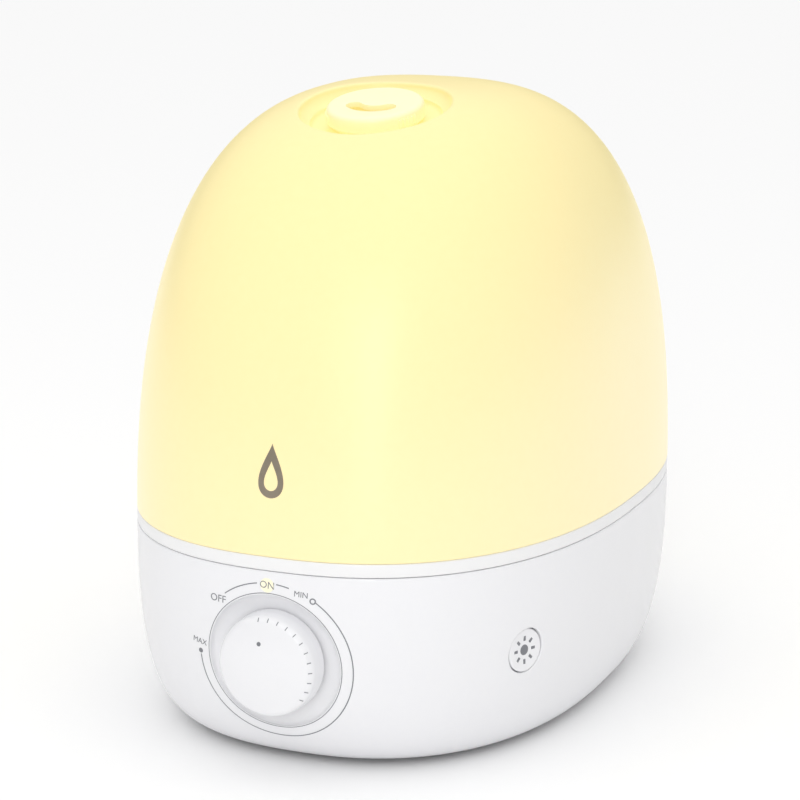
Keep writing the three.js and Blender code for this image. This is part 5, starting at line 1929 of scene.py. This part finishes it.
@dataclass
class Electrics:
    """The mist disc's clamp, the wound inductor, the knob's potentiometer, the inlet and the boards."""

    clamp: tuple[tuple[float, ...], ...] = (
        (8.5, 28.3, 0.2), (22.0, 28.3, 0.3), (22.0, 30.3, 0.3), (8.5, 30.3, 0.2)
    )
    clamp_circle: float = 18.5
    turns: int = 26
    wire: float = 0.42
    carried: dict[str, tuple[Finish, Body, float]] = field(
        default_factory=lambda: {
            "fan_housing": (BLACK_NYLON, Body.BASE, 0.3), "main_board": (SOLDER_MASK, Body.BASE, 0.12),
            "led_board": (SOLDER_MASK, Body.BASE, 0.12), "control_board": (SOLDER_MASK, Body.BASE, 0.12),
            "switch_board": (SOLDER_MASK, Body.BASE, 0.12), "heatsink": (BLASTED_ALUMINIUM, Body.BASE, 0.15),
            "light_switch": (BLACK_NYLON, Body.BASE, 0.2), "switch_plunger": (BLACK_NYLON, Body.BUTTON, 0.2),
            "inlet_lead": (BLACK_NYLON, Body.BASE, 0.2), "fan_lead": (BLACK_NYLON, Body.BASE, 0.2),
            "transducer_lead": (SILICONE, Body.BASE, 0.2), "light_lead": (SILICONE, Body.BASE, 0.2),
        }
    )

    def clamp_parts(self) -> None:
        """Makes the clamp ring and its three screws."""
        place = standing("transducer_clamp")
        ring = turned("disc_clamp", rounded(self.clamp, True), place, 96)
        drill = round_copies(
            "drills", post(1.5, 20, 35, at(0, 0), 24), BLASTED_ALUMINIUM, 3, self.clamp_circle, place,
            TURN / 4,
        )
        publish("disc_clamp", combined(ring, Cut.REMOVE, drill), BLASTED_ALUMINIUM, "transducer_clamp")
        screws = round_copies(
            "disc_clamp_screws", screw(2.6, 1.0, 26.6, 28.0, 33.5), ZINCED_STEEL, 3, self.clamp_circle, place,
            TURN / 4,
        )
        publish("disc_clamp_screws", screws, ZINCED_STEEL, *[f"clamp_screw_{i}" for i in range(1, 4)])

    def wound_inductor(self) -> None:
        """Winds copper round a ring core."""
        place = standing("inductor")
        low, high = (float(v[2]) for v in millimetres("inductor"))
        half = (high - low) / 2
        core = rounded(
            [(3.6, low + 0.5, 0.4), (6.4, low + 0.5, 0.4), (6.4, high - 0.5, 0.4), (3.6, high - 0.5, 0.4)],
            True,
        )
        publish("inductor_core", turned("inductor_core", core, place, 48), BLACK_NYLON)
        path = rounded(
            [
                (-1.55, -half + self.wire, 0.7), (1.55, -half + self.wire, 0.7),
                (1.55, half - self.wire, 0.7), (-1.55, half - self.wire, 0.7),
            ],
            True, 4,
        )
        loops = []
        for i, (across, up) in enumerate(path):
            behind, ahead = np.array(path[i - 1]), np.array(path[(i + 1) % len(path)])
            along = (ahead - behind) / np.linalg.norm(ahead - behind)
            out = np.array([along[1], -along[0]])
            ring = []
            for step in range(8):
                angle = TURN * step / 8
                reach = self.wire * 0.9 * math.cos(angle)
                ring.append(
                    (
                        across + out[0] * reach, self.wire * 0.9 * math.sin(angle),
                        up + out[1] * reach + low + half,
                    )
                )
            loops.append(np.array(ring))
        shape = LoopMesh()
        shape.add(loops, ring=True)
        coil = round_copies("inductor_winding", shape.mesh("turn"), ENAMELLED_COPPER, self.turns, 5.0, place)
        publish("inductor_winding", coil, ENAMELLED_COPPER, "inductor")

    def knob_drive(self) -> None:
        """Makes the potentiometer, its nut and the knob's shaft."""
        back = float(millimetres("potentiometer")[1][1])
        place = at(0, back, KNOB_Z) @ Matrix.Rotation(math.pi / 2, 4, "X")
        front = back - float(millimetres("potentiometer")[0][1])
        can = rounded(
            [
                (0, 0), (8.5, 0, 0.8), (8.5, 10.0, 0.6), (4.6, 10.0, 0.2), (4.6, front, 0.3),
                (3.3, front, 0.2), (3.3, 7.6), (0, 7.6),
            ]
        )
        publish(
            "knob_potentiometer", turned("knob_potentiometer", can, place, 64), ZINCED_STEEL, "potentiometer"
        )
        tip = back - float(millimetres("knob_shaft")[0][1])
        root = back - float(millimetres("knob_shaft")[1][1])
        rod = rounded([(0, root), (3.0, root, 0.3), (3.0, tip, 0.6), (0, tip)])
        publish(
            "knob_spindle", turned("knob_spindle", rod, place, 48), BLASTED_ALUMINIUM, "knob_shaft",
            body=Body.KNOB,
        )
        nut_low = back - float(millimetres("potentiometer_nut")[1][1])
        nut_high = back - float(millimetres("potentiometer_nut")[0][1])
        hexagon = turned("hexagon", [(0, nut_low), (7.0, nut_low), (7.0, nut_high), (0, nut_high)], place, 6)
        nut = combined(hexagon, Cut.REMOVE, post(4.9, nut_low - 1, nut_high + 1, place))
        publish("knob_nut", softened(nut, 0.25, 30), ZINCED_STEEL, "potentiometer_nut")

    def inlet(self) -> None:
        """Makes the round barrel inlet with its pin."""
        low, high = millimetres("power_inlet")
        place = at(
            0, float(low[1]), float(middle_of("power_inlet")[2])
        ) @ Matrix.Rotation(-math.pi / 2, 4, "X")
        length = float(high[1] - low[1])
        barrel = rounded(
            [
                (0, 0), (5.4, 0, 0.5), (5.4, length, 0.5), (3.3, length, 0.3), (3.0, length - 0.6, 0.2),
                (3.0, 3.5, 0.3), (1.0, 3.5), (1.0, length - 1.3, 0.4), (0, length - 1.1),
            ]
        )
        publish("inlet_barrel", turned("inlet_barrel", barrel, place, 64), BLACK_NYLON, "power_inlet")

    def build(self) -> None:
        """Makes the electrical parts."""
        self.clamp_parts()
        self.wound_inductor()
        self.knob_drive()
        self.inlet()
        for node, (finish, body, width) in self.carried.items():
            publish(f"{node}_finished", refined(node, width), finish, node, body=body)


@dataclass
class TankFloor:
    """The white trim ring and the tank's floor with its fill neck and skirts."""

    band_thickness: float = 3.0
    band_low: float = 70.46
    band_high: float = 74.95
    edge: float = 0.45
    plate_low: float = 72.7
    plate_high: float = 74.9
    skirt: tuple[float, float, float] = (3.5, 5.5, 65.0)
    upstand: tuple[float, float, float] = (2.95, 4.8, 79.7)
    neck: tuple[float, float, float] = (19.0, 21.5, 62.0)
    mist_skirt: tuple[float, float, float] = (13.0, 15.0, 58.0)
    socket: tuple[float, float, float] = (15.3, 17.3, 79.2)
    thread_wire: float = 0.36
    thread_turns: float = 2.2
    thread_height: float = 6.0

    def trim_ring(self) -> Mesh:
        """The ring that shows between the tank and the base."""
        half = self.band_thickness / 2
        sizes = {
            "Half Width": (FORM.half_width - half) * MM, "Half Depth": (FORM.half_depth - half) * MM,
            "Exponent": FORM.exponent, "Thickness": self.band_thickness * MM,
            "Height": (self.band_high - self.band_low) * MM, "Edge Radius": self.edge * MM,
        }
        place = at(0, FORM.centre_y, (self.band_low + self.band_high) / 2)
        return grown("trim_ring", None, band_tree(TRIM_ABS), sizes, place)

    def plate(self) -> Mesh:
        """The floor plate with its skirt below and its upstand inside the tank."""
        skirt_out, skirt_in, skirt_low = self.skirt
        stand_out, stand_in, stand_high = self.upstand
        section = rounded(
            [
                (80, self.plate_low), (skirt_in, self.plate_low, 0.6), (skirt_in, skirt_low, 0.7),
                (skirt_out, skirt_low, 0.7), (skirt_out, self.plate_low, 0.3), (stand_out, self.plate_low),
                (stand_out, stand_high, 0.7), (stand_in, stand_high, 0.7), (stand_in, self.plate_high, 0.8),
                (80, self.plate_high),
            ]
        )
        shape = LoopMesh()
        shape.add([FORM.ring(RING_ANGLES, z, inset) for inset, z in section])
        shape.close(len(RING_ANGLES))
        return shape.mesh("tank_floor")

    def build(self) -> None:
        """Makes the trim ring, the floor and the neck's thread."""
        publish("trim_ring", self.trim_ring(), TRIM_ABS, body=Body.TANK)
        mist, fill = standing("mist_tube"), standing("tank_cap")
        joined = gathered(
            post(self.neck[1], self.neck[2], self.plate_high - 0.4, fill, 96),
            turned(
                "tubes",
                [
                    (0, self.mist_skirt[2]), (self.mist_skirt[1], self.mist_skirt[2]),
                    (self.mist_skirt[1], self.plate_low + 1), (self.socket[1], self.plate_low + 1),
                    (self.socket[1], self.socket[2]), (0, self.socket[2]),
                ],
                mist,
            ),
        )
        removed = gathered(
            post(self.neck[0], 50, 90, fill, 96),
            turned(
                "bores",
                [
                    (0, 50), (self.mist_skirt[0], 50), (self.mist_skirt[0], self.plate_high),
                    (self.socket[0], self.plate_high), (self.socket[0], 90), (0, 90),
                ],
                mist,
            ),
        )
        floor = combined(combined(self.plate(), Cut.JOIN, joined), Cut.REMOVE, removed)
        publish("tank_floor", softened(floor, 0.3, 50), TRIM_ABS, "tank_bottom", body=Body.TANK)
        sizes = {
            "Radius": (self.neck[1] - 0.04) * MM, "Turns": self.thread_turns,
            "Height": self.thread_height * MM, "Wire": self.thread_wire * MM,
        }
        thread = grown("neck_thread", None, spiral_tree(TRIM_ABS), sizes, fill @ at(0, 0, self.neck[2] + 1.4))
        publish("neck_thread", thread, TRIM_ABS, body=Body.TANK)


@dataclass
class DropletMark:
    """A plain water drop stamped on the front of the tank, with a smaller drop of bare wall inside it."""

    height_z: float = 103.0
    height: float = 17.5
    width: float = 10.6
    rise: float = 0.06
    sunk: float = 0.1
    steps: int = 48

    def outline(self, scale: float, drop: float) -> list[tuple[float, float]]:
        """The drop's outline: round below and drawn to a point above."""
        points = []
        for i in range(self.steps):
            angle = TURN * i / self.steps
            across = self.width / 2 * math.sin(angle) * math.sin(angle / 2) ** 1.5
            points.append((across * scale * 1.18, -self.height / 2 * -math.cos(angle) * scale + drop))
        return points

    def build(self) -> None:
        """Stamps the mark."""
        outer, inner = self.outline(1.0, 0.0), self.outline(0.55, -1.6)
        work = bmesh.new()
        loops = []
        for outline in (outer, inner):
            loops.append([work.verts.new((x, y, 0)) for x, y in outline])
        for i in range(self.steps):
            j = (i + 1) % self.steps
            work.faces.new((loops[0][i], loops[0][j], loops[1][j], loops[1][i]))
        bmesh.ops.subdivide_edges(
            work, edges=[e for e in work.edges if e.calc_length() > 0.9], cuts=2, use_grid_fill=True
        )
        made = skinned("droplet_mark", work, self.height_z, self.rise, self.sunk)
        publish("droplet_mark", made, PEWTER_FOIL, body=Body.TANK)


# ---------------------------------------------------------------- studio


@dataclass
class Studio:
    """A pale floor, a soft sky, a large key near the camera and a strip for the white shell's highlight."""

    sky_top: float = 1.42
    sky_level: float = 0.06
    key_power: float = 2.0
    strip_power: float = 1.5

    def sky(self) -> None:
        """Makes a white sky that is brighter overhead."""
        world = bpy.data.worlds.new("studio")
        world.use_nodes = True
        tree = world.node_tree
        tree.nodes.clear()
        place = add_node(tree, "ShaderNodeTexCoord")
        parts = add_node(tree, "ShaderNodeSeparateXYZ", {"Vector": place.outputs["Generated"]})
        level = add_node(
            tree, "ShaderNodeMapRange",
            {
                "Value": parts.outputs["Z"], "From Min": 0.0, "From Max": 1.0, "To Min": self.sky_level,
                "To Max": self.sky_top,
            },
        )
        shade = add_node(
            tree, "ShaderNodeBackground", {"Color": linear("ffffff"), "Strength": level.outputs["Result"]}
        )
        add_node(tree, "ShaderNodeOutputWorld", {"Surface": shade.outputs["Background"]})
        bpy.context.scene.world = world

    def light(
        self, name: str, power: float, size: tuple[float, float], place: tuple[float, float, float],
        aim: tuple[float, float, float],
    ) -> None:
        """Adds a soft rectangular light at a place in metres, aimed at a point."""
        lamp = bpy.data.lights.new(name, "AREA")
        lamp.shape = "RECTANGLE"
        lamp.size, lamp.size_y = size
        lamp.energy = power
        holder = in_scene(name, lamp)
        holder.location = place
        holder.rotation_euler = (Vector(aim) - Vector(place)).to_track_quat("-Z", "Y").to_euler()

    def floor(self) -> None:
        """Lays a pale matt floor."""
        mesh = bpy.data.meshes.new("floor")
        half = 9.0
        mesh.from_pydata(
            [(-half, -half, 0), (half, -half, 0), (half, half, 0), (-half, half, 0)], [], [(0, 1, 2, 3)]
        )
        mesh.materials.append(FLOOR_PAPER.material())
        floor = in_scene("floor", mesh)

    def build(self) -> None:
        """Sets the studio up."""
        self.sky()
        self.floor()
        self.light("key", self.key_power, (0.7, 0.8), (0.25, -1.25, 0.75), (0, 0, 0.08))
        self.light("strip", self.strip_power, (0.12, 0.9), (0.36, -1.0, 0.3), (0, 0, 0.05))
        bpy.context.scene.view_settings.view_transform = "Standard"


def ready_camera() -> None:
    """Sets the camera a little right of the front, looking slightly down."""
    azimuth, elevation, roll = (math.radians(v) for v in (22.6, 13.38, 0.27))
    distance, slide_right, slide_up = 938.8, -4.77, -27.3
    target = Vector((0, FORM.centre_y, 128.5))
    back = Vector(
        (
            math.sin(azimuth) * math.cos(elevation), -math.cos(azimuth) * math.cos(elevation),
            math.sin(elevation),
        )
    )
    level = Vector((math.cos(azimuth), math.sin(azimuth), 0))
    rise = back.cross(level)
    right = level * math.cos(roll) + rise * math.sin(roll)
    up = rise * math.cos(roll) - level * math.sin(roll)
    lens = bpy.data.cameras.new("camera")
    lens.lens = 119.2
    lens.sensor_width = 36.0
    lens.clip_end = 30
    camera = in_scene("camera", lens)
    spot = target + back * distance + right * slide_right + up * slide_up
    camera.matrix_world = Matrix.Translation(spot * MM) @ Matrix((right, up, back)).transposed().to_4x4()
    bpy.context.scene.camera = camera


def main() -> None:
    """Builds everything in order."""
    logging.basicConfig(level=logging.INFO, format="%(name)s: %(message)s")
    ready_camera()
    shells = (
        BaseShell(), MistKnob(), LightButton(), DialPrint(), TankShell(), MistNozzle(), TankFloor(),
        DropletMark(),
    )
    inner_parts = (FillCap(), MistPath(), WaterBasin(), Underside(), Fan(), Electrics())
    for part in (*shells, *inner_parts, *TURNINGS):
        part.build()
    Studio().build()


if __name__ == "__main__":
    main()
